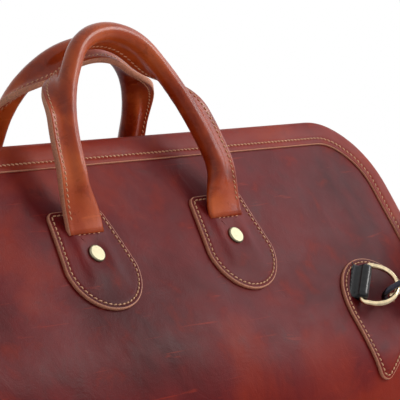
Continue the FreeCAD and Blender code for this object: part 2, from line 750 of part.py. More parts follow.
def strap_wire(points):
    """Straight runs joined by arcs as large as the runs allow."""
    edges = []
    at = points[0]
    smallest = FAR
    for i in range(1, len(points) - 1):
        p = points[i]
        a = points[i - 1] - p
        b = points[i + 1] - p
        cut = 0.45 * min(a.Length, b.Length)
        half_turn = (pi - a.getAngle(b)) / 2
        radius = cut / tan(half_turn)
        smallest = min(smallest, radius)
        a.normalize()
        b.normalize()
        first = p + a * cut
        last = p + b * cut
        middle = (a + b).normalize()
        centre = p + middle * (radius / cos(half_turn))
        edges.append(line(at, first))
        edges.append(arc(first, centre - middle * radius, last))
        at = last
    edges.append(line(at, points[-1]))
    length = sum(e.Length for e in edges)
    print("strap: length %.0f mm, smallest radius %.0f mm" % (length, smallest))
    return Part.Wire(edges)


def strap():
    points = strap_points()
    path = strap_wire(points)
    way = (points[1] - points[0]).normalize()
    across = Vector(0, 0, 1).cross(way).normalize()
    half_up = Vector(0, 0, STRAP_WIDTH / 2)
    half_out = across * (STRAP / 2)
    p = points[0]
    corners = [p + half_up + half_out, p - half_up + half_out]
    corners += [p - half_up - half_out, p + half_up - half_out]
    sweep = Part.BRepOffsetAPI.MakePipeShell(path)
    sweep.setBiNormalMode(Vector(0, 0, 1))
    sweep.add(Part.makePolygon(corners + [corners[0]]), False, False)
    sweep.build()
    sweep.makeSolid()
    solid = sweep.shape()
    full = STRAP * STRAP_WIDTH * path.Length
    print("strap: volume over section times length %.3f" % (solid.Volume / full))
    return solid


def floor_block(x, length, width, thick, y):
    """Rounded block round the strap where it lies behind the bag."""
    low = FLOOR_GAP
    block = box(x - length / 2, x + length / 2, y - thick / 2, y + thick / 2, low, low + width)
    through = [e for e in block.Edges if abs(e.tangentAt(e.FirstParameter).y) > 0.9]
    return block.makeFillet(thick * 0.3, through)


# ---- all pieces ----
def build():
    os.makedirs("parts", exist_ok=True)
    pieces = {}
    burrs = []

    front = front_panel()
    right_gusset = gusset()
    inside = lining()
    boot = base_panel()
    board = base_board()

    for side, x in (("left", -HANDLE_SPACING / 2), ("right", HANDLE_SPACING / 2)):
        patch, tongue, rivet = handle_foot(x)
        front = front.cut(rivet)
        burrs.append(rivet)
        for name, piece in (("patch", patch), ("tongue", tongue), ("rivet", rivet)):
            pieces["front_%s_handle_%s" % (side, name)] = piece
            other = "right" if side == "left" else "left"
            pieces["back_%s_handle_%s" % (other, name)] = turned(piece)

    inside = inside.cut(Part.makeCompound(burrs + [turned(b) for b in burrs]))
    pieces["front_panel"] = front
    pieces["back_panel"] = turned(front)
    pieces["right_gusset"] = right_gusset
    pieces["left_gusset"] = turned(right_gusset)
    pieces["base_panel"] = boot
    pieces["base_board"] = board
    pieces["lining"] = inside
    pieces["front_binding"] = front_binding()
    pieces["back_binding"] = turned(pieces["front_binding"])
    feet = [base_stud(0, 0)]
    for x in (-STUD_X, STUD_X):
        for y in (-STUD_Y, STUD_Y):
            feet.append(base_stud(x, y))
    pieces["base_feet"] = Part.makeCompound(feet)

    for name, make in (("zip_facing", front_facing), ("zip_tape", front_tape), ("zip_teeth", front_teeth)):
        pieces["front_" + name] = make()
        pieces["back_" + name] = turned(pieces["front_" + name])
    pieces["zip_slider"] = turned(zip_slider())
    pieces["zip_pull"] = turned(zip_pull())

    for side in ("front", "back"):
        leather, core = handle(side == "front")
        pieces[side + "_handle"] = leather
        pieces[side + "_handle_rope"] = core

    makers = (
        ("ring_patch", ring_patch), ("ring_loop", ring_loop), ("d_ring", d_ring), ("snap_hook", snap_hook),
        ("hook_trigger", trigger), ("hook_eye", hook_eye), ("strap_tab", strap_tab),
    )
    for name, make in makers:
        pieces["front_" + name] = make()
        pieces["back_" + name] = turned(pieces["front_" + name])

    tabs = [pieces["front_strap_tab"], pieces["back_strap_tab"]]
    ribbon = strap().cut(tabs[0]).cut(tabs[1])
    pieces["shoulder_strap"] = ribbon
    pad = floor_block(PAD_X, PAD_LENGTH, PAD_WIDTH, PAD, STRAP_Y)
    buckle = floor_block(BUCKLE_X, BUCKLE_LENGTH, BUCKLE_WIDTH, BUCKLE, STRAP_Y)
    keeper = floor_block(KEEPER_X, KEEPER_LENGTH, KEEPER_WIDTH, KEEPER, STRAP_Y)
    pieces["shoulder_pad"] = pad.cut(ribbon)
    pieces["strap_buckle"] = buckle.cut(ribbon)
    pieces["strap_keeper"] = keeper.cut(ribbon)

    for name in sorted(pieces):
        save(name, pieces[name])


build()
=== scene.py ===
import bpy
import bmesh
import random
from math import asin, cos, hypot, pi, radians, sin, sqrt, tan
from mathutils import Matrix, Vector, noise

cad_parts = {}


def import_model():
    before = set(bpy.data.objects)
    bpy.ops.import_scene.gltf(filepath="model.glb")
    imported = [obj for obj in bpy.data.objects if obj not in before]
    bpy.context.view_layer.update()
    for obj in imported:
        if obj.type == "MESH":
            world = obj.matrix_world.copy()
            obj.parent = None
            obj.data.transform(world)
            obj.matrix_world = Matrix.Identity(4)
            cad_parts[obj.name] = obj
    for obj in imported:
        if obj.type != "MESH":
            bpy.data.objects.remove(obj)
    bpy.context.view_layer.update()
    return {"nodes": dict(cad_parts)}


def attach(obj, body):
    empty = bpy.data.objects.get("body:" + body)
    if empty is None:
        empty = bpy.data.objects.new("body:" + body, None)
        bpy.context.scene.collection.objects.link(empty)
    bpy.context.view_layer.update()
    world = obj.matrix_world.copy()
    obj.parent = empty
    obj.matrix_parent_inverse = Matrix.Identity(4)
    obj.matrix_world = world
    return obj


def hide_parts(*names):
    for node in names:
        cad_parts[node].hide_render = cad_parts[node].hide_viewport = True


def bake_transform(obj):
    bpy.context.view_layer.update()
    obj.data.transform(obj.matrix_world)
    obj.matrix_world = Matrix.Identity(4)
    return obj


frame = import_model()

random.seed(11)

# Duffel bag. Shapes are worked out in millimetres and written to the meshes in metres.
# X runs along the bag, -Y is its front, +Z is up. The back pieces are the front ones turned about Z.
MM = 0.001

# ---- sizes shared with the construction ----
HALF_LENGTH = 284.0
TOP_Z = 300.0
FOOT_HEIGHT = 8.0
TOP_HALF_DEPTH = 20.0
LEAN = radians(29.2)
BEND_Z = 165.0
BEND_RADIUS = 180.0
BASE_EDGE_RADIUS = 30.0
TOP_CORNER_RADIUS = 58.0
BASE_CORNER_RADIUS = 40.0
LEATHER = 2.4
SEAM_Z = 44.0
BOARD = 4.0
HANDLE_SPACING = 149.0
RIVET_DOWN = 95.0
HANDLE_OUT = 11.5          # the arch stands off the panel by this
HANDLE_DOWN = 69.0         # lower end of the arch: the tongue's upper end and the lap over it
PATCH = 2.8
RING_X = 196.0
RING_Z = 146.0

bend_foot_z = BEND_Z - BEND_RADIUS * sin(LEAN)
half_depth = TOP_HALF_DEPTH + (TOP_Z - BEND_Z) * tan(LEAN) + BEND_RADIUS * (1 - cos(LEAN))
bend_y = half_depth - BEND_RADIUS
rivet_z = TOP_Z - RIVET_DOWN * cos(LEAN)


# ---- helpers ----
def smooth(a, b, x):
    t = min(1.0, max(0.0, (x - a) / (b - a)))
    return t * t * (3 - 2 * t)


def mix(a, b, t):
    return a + (b - a) * t


def depth_at(z):
    """Half of the body's depth at a height."""
    if z >= BEND_Z:
        return TOP_HALF_DEPTH + (TOP_Z - z) * tan(LEAN)
    if z >= bend_foot_z:
        return bend_y + sqrt(BEND_RADIUS ** 2 - (z - bend_foot_z) ** 2)
    low = FOOT_HEIGHT + BASE_EDGE_RADIUS
    if z < low:
        return half_depth - BASE_EDGE_RADIUS + sqrt(max(0.0, BASE_EDGE_RADIUS ** 2 - (low - z) ** 2))
    return half_depth


def tilt_at(z):
    """How far the panel's face leans back from upright at a height."""
    if z >= BEND_Z:
        return LEAN
    if z >= bend_foot_z:
        return asin((z - bend_foot_z) / BEND_RADIUS)
    return 0.0


def half_at(z):
    """Half of the body's length at a height."""
    top = TOP_Z - TOP_CORNER_RADIUS
    low = FOOT_HEIGHT + BASE_CORNER_RADIUS
    if z > top:
        return HALF_LENGTH - TOP_CORNER_RADIUS + sqrt(max(0.0, TOP_CORNER_RADIUS ** 2 - (z - top) ** 2))
    if z < low:
        return HALF_LENGTH - BASE_CORNER_RADIUS + sqrt(max(0.0, BASE_CORNER_RADIUS ** 2 - (low - z) ** 2))
    return HALF_LENGTH


def edge_distance(x, z):
    """Rough distance from the panel's outline, along the face."""
    return min(HALF_LENGTH - abs(x), (TOP_Z - z) * 1.1, z - SEAM_Z)


def sag(x, z):
    """Softness of the panel: how far its face stands out of the drawn shape."""
    free = smooth(6, 62, edge_distance(x, z))
    patches = ((-HANDLE_SPACING / 2, rivet_z, 52), (HANDLE_SPACING / 2, rivet_z, 52), (RING_X, RING_Z, 50))
    for px, pz, reach in patches:
        free *= smooth(14, reach, hypot(x - px, (z - pz) * 1.1))
    wave = noise.noise(Vector((x / 120, z / 90, 3.7))) * 4.2
    wave += noise.noise(Vector((x / 46, z / 60, 9.1))) * 1.3
    belly = 3.4 * smooth(230, 110, z) - 2.6 * smooth(150, 262, z) * smooth(120, 40, abs(x))
    return free * (wave + belly)


def on_front(x, z, out=0.0):
    """Point on the front panel's face, or off it by out."""
    a = tilt_at(z)
    out = out + sag(x, z)
    return Vector((x, -depth_at(z) - out * cos(a), z + out * sin(a)))


def turned(points):
    return [Vector((-p.x, -p.y, p.z)) for p in points]


def turned_shape(shape):
    """The same shape turned half round about Z."""
    verts, faces, marks = shape
    return turned(verts), faces, marks


def level(points, z, scale=1.0):
    """Points brought to one height, and drawn in towards the middle by a scale."""
    return [Vector((p.x * scale, p.y * scale, z)) for p in points]


def piece(name, shape, materials, body="bag", replaces=()):
    """Mesh object from points in millimetres, faces and a material number for each face, riding on a body."""
    verts, faces, marks = shape
    mesh = bpy.data.meshes.new(name)
    mesh.from_pydata([v * MM for v in verts], [], faces)
    for m in materials if isinstance(materials, list) else [materials]:
        mesh.materials.append(m)
    for polygon, index in zip(mesh.polygons, marks):
        polygon.material_index = index
    bm = bmesh.new()
    bm.from_mesh(mesh)
    bmesh.ops.recalc_face_normals(bm, faces=bm.faces)
    bm.to_mesh(mesh)
    bm.free()
    mesh.polygons.foreach_set("use_smooth", [True] * len(mesh.polygons))
    obj = bpy.data.objects.new(name, mesh)
    bpy.context.scene.collection.objects.link(obj)
    if body:
        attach(obj, body)
    if replaces:
        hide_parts(*replaces)
    return obj


def pair(name, shape, materials, bodies=("bag", "bag"), replaces=()):
    """The same piece on the front and, turned half round, on the back. %s stands for the side."""
    both = []
    for side, body, made in (("front", bodies[0], shape), ("back", bodies[1], turned_shape(shape))):
        both.append(piece(name % side, made, materials, body, [n % side for n in replaces]))
    return both


def grid_solid(outer, inner):
    """Closed slab between two grids of points; its edge has material 1."""
    rows, columns = len(outer), len(outer[0])
    verts = [p for row in outer for p in row] + [p for row in inner for p in row]
    count = rows * columns
    faces = []
    marks = []
    for i in range(rows - 1):
        for j in range(columns - 1):
            a = i * columns + j
            faces.append((a, a + 1, a + columns + 1, a + columns))
            faces.append((count + a, count + a + columns, count + a + columns + 1, count + a + 1))
            marks += [0, 0]
    rim = list(range(columns))
    rim += [i * columns + columns - 1 for i in range(1, rows)]
    rim += [(rows - 1) * columns + j for j in range(columns - 2, -1, -1)]
    rim += [i * columns for i in range(rows - 2, 0, -1)]
    for k in range(len(rim)):
        a, b = rim[k], rim[(k + 1) % len(rim)]
        faces.append((a, count + a, count + b, b))
        marks.append(1)
    return verts, faces, marks


def tube_between(rings, closed=False, marks=None):
    """Skin over a row of rings of points. marks gives a material for each step round a ring."""
    count = len(rings[0])
    verts = [p for ring in rings for p in ring]
    faces = []
    materials = []
    steps = len(rings) if closed else len(rings) - 1
    for i in range(steps):
        for j in range(count):
            a = i * count + j
            b = i * count + (j + 1) % count
            ahead = ((i + 1) % len(rings)) * count
            faces.append((a, b, ahead + (j + 1) % count, ahead + j))
            materials.append(marks[j] if marks else 0)
    if not closed:
        faces.append(tuple(range(count - 1, -1, -1)))
        faces.append(tuple((len(rings) - 1) * count + j for j in range(count)))
        materials += [0, 0]
    return verts, faces, materials


def gather(parts):
    """Several point-and-face sets as one."""
    verts, faces, marks = [], [], []
    for v, f, m in parts:
        shift = len(verts)
        verts += v
        faces += [tuple(i + shift for i in face) for face in f]
        marks += m
    return verts, faces, marks


def resample(points, pitch):
    """Points one pitch apart along a line, with the way along it."""
    lengths = [0.0]
    for a, b in zip(points, points[1:]):
        lengths.append(lengths[-1] + (b - a).length)
    count = max(1, int(lengths[-1] / pitch))
    step = lengths[-1] / count
    result = []
    i = 0
    for k in range(count):
        target = (k + 0.5) * step
        while lengths[i + 1] < target and i < len(points) - 2:
            i += 1
        t = (target - lengths[i]) / max(1e-9, lengths[i + 1] - lengths[i])
        result.append((i, t, points[i].lerp(points[i + 1], t), (points[i + 1] - points[i]).normalized()))
    return result


def way_at(points, i):
    """Way along a line of points at one of them."""
    return (points[min(i + 1, len(points) - 1)] - points[max(i - 1, 0)]).normalized()


STITCH_AROUND = 6
STITCH_PROFILE = (          # along the stitch, thickness, lift
    (-0.5, 0.45, -0.7), (-0.34, 0.95, 0.05), (0, 1.0, 0.3), (0.34, 0.95, 0.05), (0.5, 0.45, -0.7),
)


def stitch(middle, way, normal, length, radius):
    """One stitch: a short thread that dips into the leather at both ends."""
    side = normal.cross(way)
    rings = []
    for along, size, lift in STITCH_PROFILE:
        centre = middle + way * (along * length) + normal * (lift * radius)
        ring = []
        for j in range(STITCH_AROUND):
            a = 2 * pi * j / STITCH_AROUND
            ring.append(centre + (side * cos(a) + normal * sin(a)) * (radius * size))
        rings.append(ring)
    return tube_between(rings)


def seam(points, normals, pitch=4.2, length=3.3, radius=0.66, slant=0.0):
    """Row of stitches along a line on a surface."""
    parts = []
    for i, t, at, way in resample(points, pitch):
        normal = normals[i].lerp(normals[min(i + 1, len(normals) - 1)], t).normalized()
        way = (way - normal * way.dot(normal)).normalized()
        angle = slant + random.uniform(-0.05, 0.05)
        turned_way = Matrix.Rotation(angle, 3, normal) @ way
        parts.append(stitch(at, turned_way, normal, length * random.uniform(0.94, 1.05), radius))
    return gather(parts)


# ---- materials ----
def linear(r, g, b):
    """Colour written as 0 to 255, as linear light."""
    levels = [(c / 255) / 12.92 if c <= 10 else ((c / 255 + 0.055) / 1.055) ** 2.4 for c in (r, g, b)]
    return tuple(levels) + (1.0,)


def scaled(colour, by, add=0):
    return linear(*[min(255, int(c * by) + add) for c in colour])


class Nodes:
    """Small helper round a material's node tree."""

    def __init__(self, name):
        self.material = bpy.data.materials.new(name)
        self.material.use_nodes = True
        self.tree = self.material.node_tree
        self.shader = self.tree.nodes["Principled BSDF"]
        self.place = self.tree.nodes.new("ShaderNodeTexCoord").outputs["Object"]

    def set(self, socket, value):
        """Gives an input its value, or links it where the value is a socket."""
        if hasattr(value, "links"):
            self.tree.links.new(value, socket)
        else:
            socket.default_value = value

    def put(self, node=None, **values):
        for key, value in values.items():
            self.set((node or self.shader).inputs[key.replace("_", " ")], value)

    def new(self, kind, **values):
        node = self.tree.nodes.new("ShaderNode" + kind)
        self.put(node, **values)
        return node

    def mapped(self, scale=(1, 1, 1), turn=(0, 0, 0)):
        return self.new("Mapping", Vector=self.place, Scale=scale, Rotation=turn).outputs["Vector"]

    def noise(self, scale, detail=4.0, rough=0.55, distortion=0.0, vector=None):
        node = self.new("TexNoise", Vector=vector or self.place, Scale=scale, Detail=detail, Roughness=rough,
                        Distortion=distortion)
        return node.outputs["Fac"]

    def cells(self, scale):
        return self.new("TexVoronoi", Vector=self.place, Scale=scale).outputs["Distance"]

    def ramp(self, value, stops):
        node = self.new("ValToRGB", Fac=value)
        elements = node.color_ramp.elements
        while len(elements) < len(stops):
            elements.new(0.5)
        for element, (at, colour) in zip(elements, stops):
            element.position = at
            element.color = colour
        return node.outputs["Color"]

    def grey(self, value, low, high, a=0.0, b=1.0):
        """Value stretched from low..high to a..b."""
        node = self.new("MapRange", Value=value, From_Min=low, From_Max=high, To_Min=a, To_Max=b)
        return node.outputs["Result"]

    def mix(self, a, b, factor, blend="MIX"):
        node = self.tree.nodes.new("ShaderNodeMix")
        node.data_type = "RGBA"
        node.blend_type = blend
        for index, value in ((6, a), (7, b), (0, factor)):
            self.set(node.inputs[index], value)
        return node.outputs[2]

    def bump(self, heights):
        """Bumps laid over each other: (height, strength, distance in metres)."""
        normal = {}
        for value, strength, distance in heights:
            node = self.new("Bump", Strength=strength, Distance=distance, Height=value, **normal)
            normal = {"Normal": node.outputs["Normal"]}
        self.put(**normal)


def leather(name, dark, middle, light, rough=(0.36, 0.5), coat=0.0, cloud=7.0, scuffs_and_sheen=0.35, grain=0.25,
            gloss=0.1):
    """Waxed leather: cloudy colour, pale scuffs where it was bent, fine pores and creases; on the black
    leather the pale streaks are a painted blue-grey sheen.
    """
    n = Nodes(name)
    clouds = n.noise(cloud, 5.0, 0.55, 0.6)
    colour = n.ramp(clouds, [(0.34, linear(*dark)), (0.5, linear(*middle)), (0.68, linear(*light))])
    patchy = n.noise(cloud * 5.5, 6.0, 0.6, 0.3)
    colour = n.mix(colour, linear(*light), n.grey(patchy, 0.56, 0.78, 0.0, 0.55))
    colour = n.mix(colour, linear(*dark), n.grey(patchy, 0.44, 0.25, 0.0, 0.6))
    # pale streaks and scratches: scuffs on the brown leathers, a painted blue-grey sheen on the black leather
    scuff_and_sheen_streaks = n.noise(1.0, 3.0, 0.6, 0.4, n.mapped((26, 26, 190), (0.0, 0.5, 0.35)))
    colour = n.mix(colour, scaled(light, 1.28, 8), n.grey(scuff_and_sheen_streaks, 0.66, 0.8, 0.0, scuffs_and_sheen))
    scratch = n.noise(1.0, 2.0, 0.5, 0.2, n.mapped((14, 14, 420), (0.3, 1.1, 0.2)))
    colour = n.mix(colour, scaled(light, 1.3, 6), n.grey(scratch, 0.7, 0.8, 0.0, scuffs_and_sheen * 0.7))
    n.put(Base_Color=colour, Roughness=n.grey(patchy, 0.3, 0.7, *rough))
    n.put(Coat_Weight=coat, Coat_Roughness=0.16, Specular_IOR_Level=gloss)
    pores = n.cells(1150.0)
    fine = n.noise(520.0, 3.0, 0.6)
    creases = n.noise(34.0, 5.0, 0.6, 1.1)
    n.bump([(creases, 0.28, 0.0016), (fine, grain * 0.5, 0.0003), (pores, grain, 0.00022)])
    return n.material


def raw_edge(name, colour):
    """Cut edge of the leather, burnished in places."""
    n = Nodes(name)
    fibres = n.noise(900.0, 4.0, 0.7)
    n.put(Base_Color=n.ramp(fibres, [(0.3, scaled(colour, 0.78)), (0.62, linear(*colour))]), Roughness=0.6)
    n.bump([(fibres, 0.4, 0.0003)])
    return n.material


def thread(name, colour):
    """Waxed thread with its twist."""
    n = Nodes(name)
    twist = n.noise(1600.0, 2.0, 0.5)
    n.put(Base_Color=n.ramp(twist, [(0.35, scaled(colour, 0.8)), (0.6, linear(*colour))]), Roughness=0.55)
    n.bump([(twist, 0.5, 0.0002)])
    return n.material


def metal(name, colour, rough, dull=0.12):
    """Plated metal, with faint handling marks in its gloss."""
    n = Nodes(name)
    marks = n.noise(260.0, 5.0, 0.65)
    n.put(Base_Color=n.ramp(marks, [(0.3, scaled(colour, 0.86)), (0.6, linear(*colour))]),
          Roughness=n.grey(marks, 0.3, 0.75, rough, rough + dull), Metallic=1.0)
    n.bump([(n.noise(900.0, 2.0), 0.06, 0.0001)])
    return n.material


def weave(name, dark, light, per_metre, rough=0.75):
    """Woven cloth or webbing: crossing threads, seen from any side."""
    n = Nodes(name)
    heights = []
    for turn in ((0, 0, 0), (0, pi / 2, 0), (0, 0, pi / 2)):
        wave = n.new("TexWave", Vector=n.mapped(turn=turn), Scale=per_metre / 20, Distortion=0.6)
        heights.append(wave.outputs["Fac"])
    height = n.mix(heights[0], heights[1], 0.5, "MULTIPLY")
    height = n.mix(height, heights[2], 0.4, "SCREEN")
    spots = n.noise(60.0, 4.0)
    colour = n.ramp(height, [(0.1, linear(*dark)), (0.9, linear(*light))])
    n.put(Base_Color=n.mix(colour, linear(*dark), n.grey(spots, 0.4, 0.7, 0.0, 0.4)))
    n.put(Roughness=rough, Sheen_Weight=0.25)
    n.bump([(height, 0.5, 0.0004)])
    return n.material


BODY = leather("body_leather", (80, 12, 16), (118, 26, 27), (164, 50, 26))
BINDING = leather("binding_leather", (112, 26, 22), (146, 44, 34), (184, 70, 34), grain=0.18, scuffs_and_sheen=0.2,
                  gloss=0.12)
HANDLE = leather("handle_leather", (126, 34, 10), (182, 68, 22), (214, 100, 44), rough=(0.24, 0.36), coat=0.2,
                 cloud=14.0, grain=0.15, gloss=0.2)
# black leather: its bluish light tone and strong pale streaks are a painted blue-grey sheen in its colour
BLACK = leather("black_leather", (9, 9, 12), (16, 16, 21), (34, 35, 46), rough=(0.24, 0.42), coat=0.5,
                scuffs_and_sheen=0.5)
EDGE = raw_edge("raw_edge", (236, 164, 128))
THREAD = thread("thread", (255, 196, 150))
DARK_THREAD = thread("dark_thread", (40, 38, 40))
GOLD = metal("pale_gold", (240, 218, 178), 0.16)
BRASS = metal("zip_brass", (200, 160, 96), 0.28)
RIVET = metal("rivet_cap", (150, 144, 118), 0.3)
GUNMETAL = metal("gunmetal", (58, 56, 64), 0.2)
TAPE = weave("zip_tape", (22, 14, 12), (46, 32, 28), 1600.0)
WEBBING = weave("strap_webbing", (10, 10, 13), (30, 30, 36), 1100.0, 0.6)
LINING = weave("lining_twill", (74, 56, 44), (112, 88, 70), 1500.0)
BOARD_SKIN = raw_edge("board", (60, 58, 56))


# ---- camera, light, floor ----
def make_camera():
    """Seen from the bag's left front, nearly level, close on the upper right of its front."""
    data = bpy.data.cameras.new("camera")
    data.lens = 198.0
    data.sensor_width = 36.0
    data.clip_end = 50.0
    camera = bpy.data.objects.new("camera", data)
    right = Vector((0.68062, -0.72731, -0.08821)).normalized()
    back = Vector((-0.72858, -0.68458, 0.02281)).normalized()
    up = back.cross(right).normalized()
    right = up.cross(back)
    place = Matrix((right, up, back)).transposed().to_4x4()
    place.translation = Vector((-1.1711, -1.2056, 0.2865))
    camera.matrix_world = place
    bpy.context.scene.collection.objects.link(camera)
    bpy.context.scene.camera = camera


def area_light(name, at, target, size, power, colour=(1, 1, 1)):
    data = bpy.data.lights.new(name, "AREA")
    data.shape = "RECTANGLE"
    data.size, data.size_y = size
    data.energy = power
    data.color = colour
    light = bpy.data.objects.new(name, data)
    light.location = at
    light.rotation_euler = (Vector(target) - Vector(at)).to_track_quat("-Z", "Y").to_euler()
    bpy.context.scene.collection.objects.link(light)


def make_world():
    """Pale surround that lights softly and is white where it is seen or mirrored."""
    world = bpy.data.worlds.new("world")
    bpy.context.scene.world = world
    world.use_nodes = True
    tree = world.node_tree
    tree.nodes.clear()
    kinds = ("Background", "Background", "LightPath", "MixShader", "OutputWorld")
    soft, white, path, blend, out = [tree.nodes.new("ShaderNode" + kind) for kind in kinds]
    soft.inputs["Color"].default_value = (0.93, 0.94, 1.0, 1)
    soft.inputs["Strength"].default_value = 0.26
    white.inputs["Color"].default_value = (1, 1, 1, 1)
    seen = path.outputs["Is Camera Ray"]
    for kind in ("Is Glossy Ray", "Is Transmission Ray"):
        either = tree.nodes.new("ShaderNodeMath")
        either.operation = "MAXIMUM"
        tree.links.new(seen, either.inputs[0])
        tree.links.new(path.outputs[kind], either.inputs[1])
        seen = either.outputs[0]
    tree.links.new(seen, blend.inputs[0])
    tree.links.new(soft.outputs[0], blend.inputs[1])
    tree.links.new(white.outputs[0], blend.inputs[2])
    tree.links.new(blend.outputs[0], out.inputs["Surface"])


def make_floor():
    mesh = bpy.data.meshes.new("floor")
    far = 3.0
    mesh.from_pydata([(-far, -far, 0), (far, -far, 0), (far, far, 0), (-far, far, 0)], [], [(0, 1, 2, 3)])
    floor = bpy.data.objects.new("floor", mesh)
    n = Nodes("floor")
    n.put(Base_Color=n.ramp(n.noise(3.0), [(0.2, linear(238, 238, 240)), (0.8, linear(244, 244, 245))]),
          Roughness=0.8)
    mesh.materials.append(n.material)
    bpy.context.scene.collection.objects.link(floor)


make_camera()
make_world()
make_floor()
area_light("key", (1.35, -1.25, 1.15), (0.05, -0.05, 0.22), (0.7, 0.7), 15.0, (1.0, 0.97, 0.94))
area_light("side_box", (1.75, -0.55, 1.0), (0.22, -0.06, 0.2), (1.1, 1.3), 7.5, (0.86, 0.9, 1.0))
area_light("fill", (-1.5, -1.4, 1.2), (0.0, 0.0, 0.2), (1.4, 1.4), 1.6)
bpy.context.scene.view_settings.view_transform = "Standard"


# ---- body panels ----
CORNER_FOOT_Z = TOP_Z - TOP_CORNER_RADIUS      # the rounded upper corners start here
PANEL_COLUMNS = 72
PANEL_CROWDING = pi / 2 * 0.82                 # the columns lie closer together towards the ends


def panel_rows():
    low = [SEAM_Z + (CORNER_FOOT_Z - SEAM_Z) * i / 30 for i in range(30)]
    high = [CORNER_FOOT_Z + TOP_CORNER_RADIUS * sin(pi / 2 * i / 16) for i in range(17)]
    return low + high


def make_panels():
    """Front and back panel, each one slack piece of leather."""
    outer, inner = [], []
    for z in panel_rows():
        row, back_row = [], []
        for j in range(PANEL_COLUMNS + 1):
            u = -1 + 2 * j / PANEL_COLUMNS
            x = half_at(z) * sin(u * PANEL_CROWDING) / sin(PANEL_CROWDING)
            row.append(on_front(x, z))
            back_row.append(on_front(x, z, -LEATHER))
        outer.append(row)
        inner.append(back_row)
    panel = grid_solid(outer, inner)
    pair("%s_panel_leather", panel, [BODY, EDGE], replaces=["%s_panel"])


def round_corner(x, z, start, count):
    """Points round a quarter turn of the panel's upper corners, each with its outward way."""
    path = []
    for i in range(count):
        a = start - pi / 2 * i / count
        path.append(((x + TOP_CORNER_RADIUS * cos(a), z + TOP_CORNER_RADIUS * sin(a)), (cos(a), sin(a))))
    return path


def outline_path(step=5.0):
    """The panel's outline from seam to seam over the top: points, each with its outward way."""
    r = TOP_CORNER_RADIUS
    top = TOP_Z - r
    rise = int((top - SEAM_Z) / step)
    around = int(r * pi / 2 / (step * 0.6))
    along = int(2 * (HALF_LENGTH - r) / step)
    path = [((-HALF_LENGTH, SEAM_Z + (top - SEAM_Z) * i / rise), (-1, 0)) for i in range(rise)]
    path += round_corner(-HALF_LENGTH + r, top, pi, around)
    path += [((-HALF_LENGTH + r + 2 * (HALF_LENGTH - r) * i / along, TOP_Z), (0, 1)) for i in range(along)]
    path += round_corner(HALF_LENGTH - r, top, pi / 2, around)
    path += [((HALF_LENGTH, top - (top - SEAM_Z) * i / rise), (1, 0)) for i in range(rise + 1)]
    return path


BINDING_SECTION = [         # (in from the edge, out from the face)
    (18.0, 0.0), (18.0, 1.2), (17.5, 1.6), (15.6, 1.75), (14.4, 1.7), (13.6, 1.35), (12.8, 1.35),
    (12.0, 1.75), (9.5, 2.15), (6.0, 2.3), (3.0, 2.2), (1.0, 1.7), (-0.6, 0.8), (-1.5, -0.6),
    (-1.7, -2.0), (-1.4, -3.1),
    (-0.6, -3.5), (0.6, -3.4), (0.6, -1.5),
]
STITCH_IN = 13.2            # the stitches lie this far in from the edge


def make_bindings():
    """Edge binding: a folded strip round each panel, sewn through."""
    path = outline_path()
    rings = []
    for (x, z), (nx, nz) in path:
        uneven = 0.18 * noise.noise(Vector((x / 22, z / 22, 1.0)))
        section = [(d, out + uneven if out > 0.5 else out) for d, out in BINDING_SECTION]
        rings.append([on_front(x - nx * d, z - nz * d, out) for d, out in section])
    marks = [1, 1] + [0] * (len(BINDING_SECTION) - 2)
    pair("%s_edge_binding", tube_between(rings, marks=marks), [BINDING, EDGE],
         replaces=["%s_binding"])
    line, normals = [], []
    for (x, z), (nx, nz) in path:
        line.append(on_front(x - nx * STITCH_IN, z - nz * STITCH_IN, 1.5))
        a = tilt_at(z)
        normals.append(Vector((0, -cos(a), sin(a))))
    pair("%s_binding_stitches", seam(line, normals, 4.1, 3.3, 0.58, -0.42), THREAD)


def make_gussets():
    """End of the bag: one strip up the side and over the corner to the zip, a little hollow."""
    r = TOP_CORNER_RADIUS
    top = TOP_Z - r
    path = [((HALF_LENGTH, SEAM_Z + (top - SEAM_Z) * i / 26), (1, 0)) for i in range(26)]
    for i in range(17):
        a = pi / 2 * i / 16
        path.append(((HALF_LENGTH - r + r * cos(a), top + r * sin(a)), (cos(a), sin(a))))
    path += [((HALF_LENGTH - r - 3.0 * i, TOP_Z), (0, 1)) for i in range(1, 5)]
    outer, inner = [], []
    for (x, z), (nx, nz) in path:
        width = depth_at(min(z, TOP_Z)) - LEATHER
        row, back_row = [], []
        for j in range(25):
            u = -1 + j / 12
            hollow = -3.2 * (1 - u * u) * smooth(SEAM_Z, 90, z) * smooth(TOP_Z, 250, z)
            wave = 1.2 * noise.noise(Vector((u * 1.6, z / 50, 5.0)))
            hollow += wave * (1 - u * u) * smooth(SEAM_Z, 80, z) * smooth(TOP_Z, 262, z)
            row.append(Vector((x + nx * hollow, u * width, z + nz * hollow)))
            back_row.append(Vector((x + nx * (hollow - LEATHER), u * width, z + nz * (hollow - LEATHER))))
        outer.append(row)
        inner.append(back_row)
    right = grid_solid(outer, inner)
    for side, shape in (("right", right), ("left", turned_shape(right))):
        piece(side + "_gusset_leather", shape, [BODY, EDGE], "bag", [side + "_gusset"])


def base_ring(z, inset=0.0):
    """Rounded rectangle round the base at a height, on its outer face."""
    half_x = half_at(z) - inset
    half_y = depth_at(z) - inset
    r = max(2.0, 9.0 - inset * 0.5)
    corners = (             # middle, first angle, steps to the next corner
        (half_x - r, half_y - r, 0, 24), (-half_x + r, half_y - r, pi / 2, 12),
        (-half_x + r, -half_y + r, pi, 24), (half_x - r, -half_y + r, 3 * pi / 2, 12),
    )
    ring = []
    for i, (cx, cy, start, steps) in enumerate(corners):
        angles = [start + pi / 2 * k / 6 for k in range(7)]
        turn = [Vector((cx + r * cos(a), cy + r * sin(a), z)) for a in angles]
        nx, ny, next_start, _ = corners[(i + 1) % 4]
        reach = Vector((nx + r * cos(next_start), ny + r * sin(next_start), z))
        ring += turn[:-1]
        ring += [turn[-1].lerp(reach, k / steps) for k in range(steps)]
    return ring


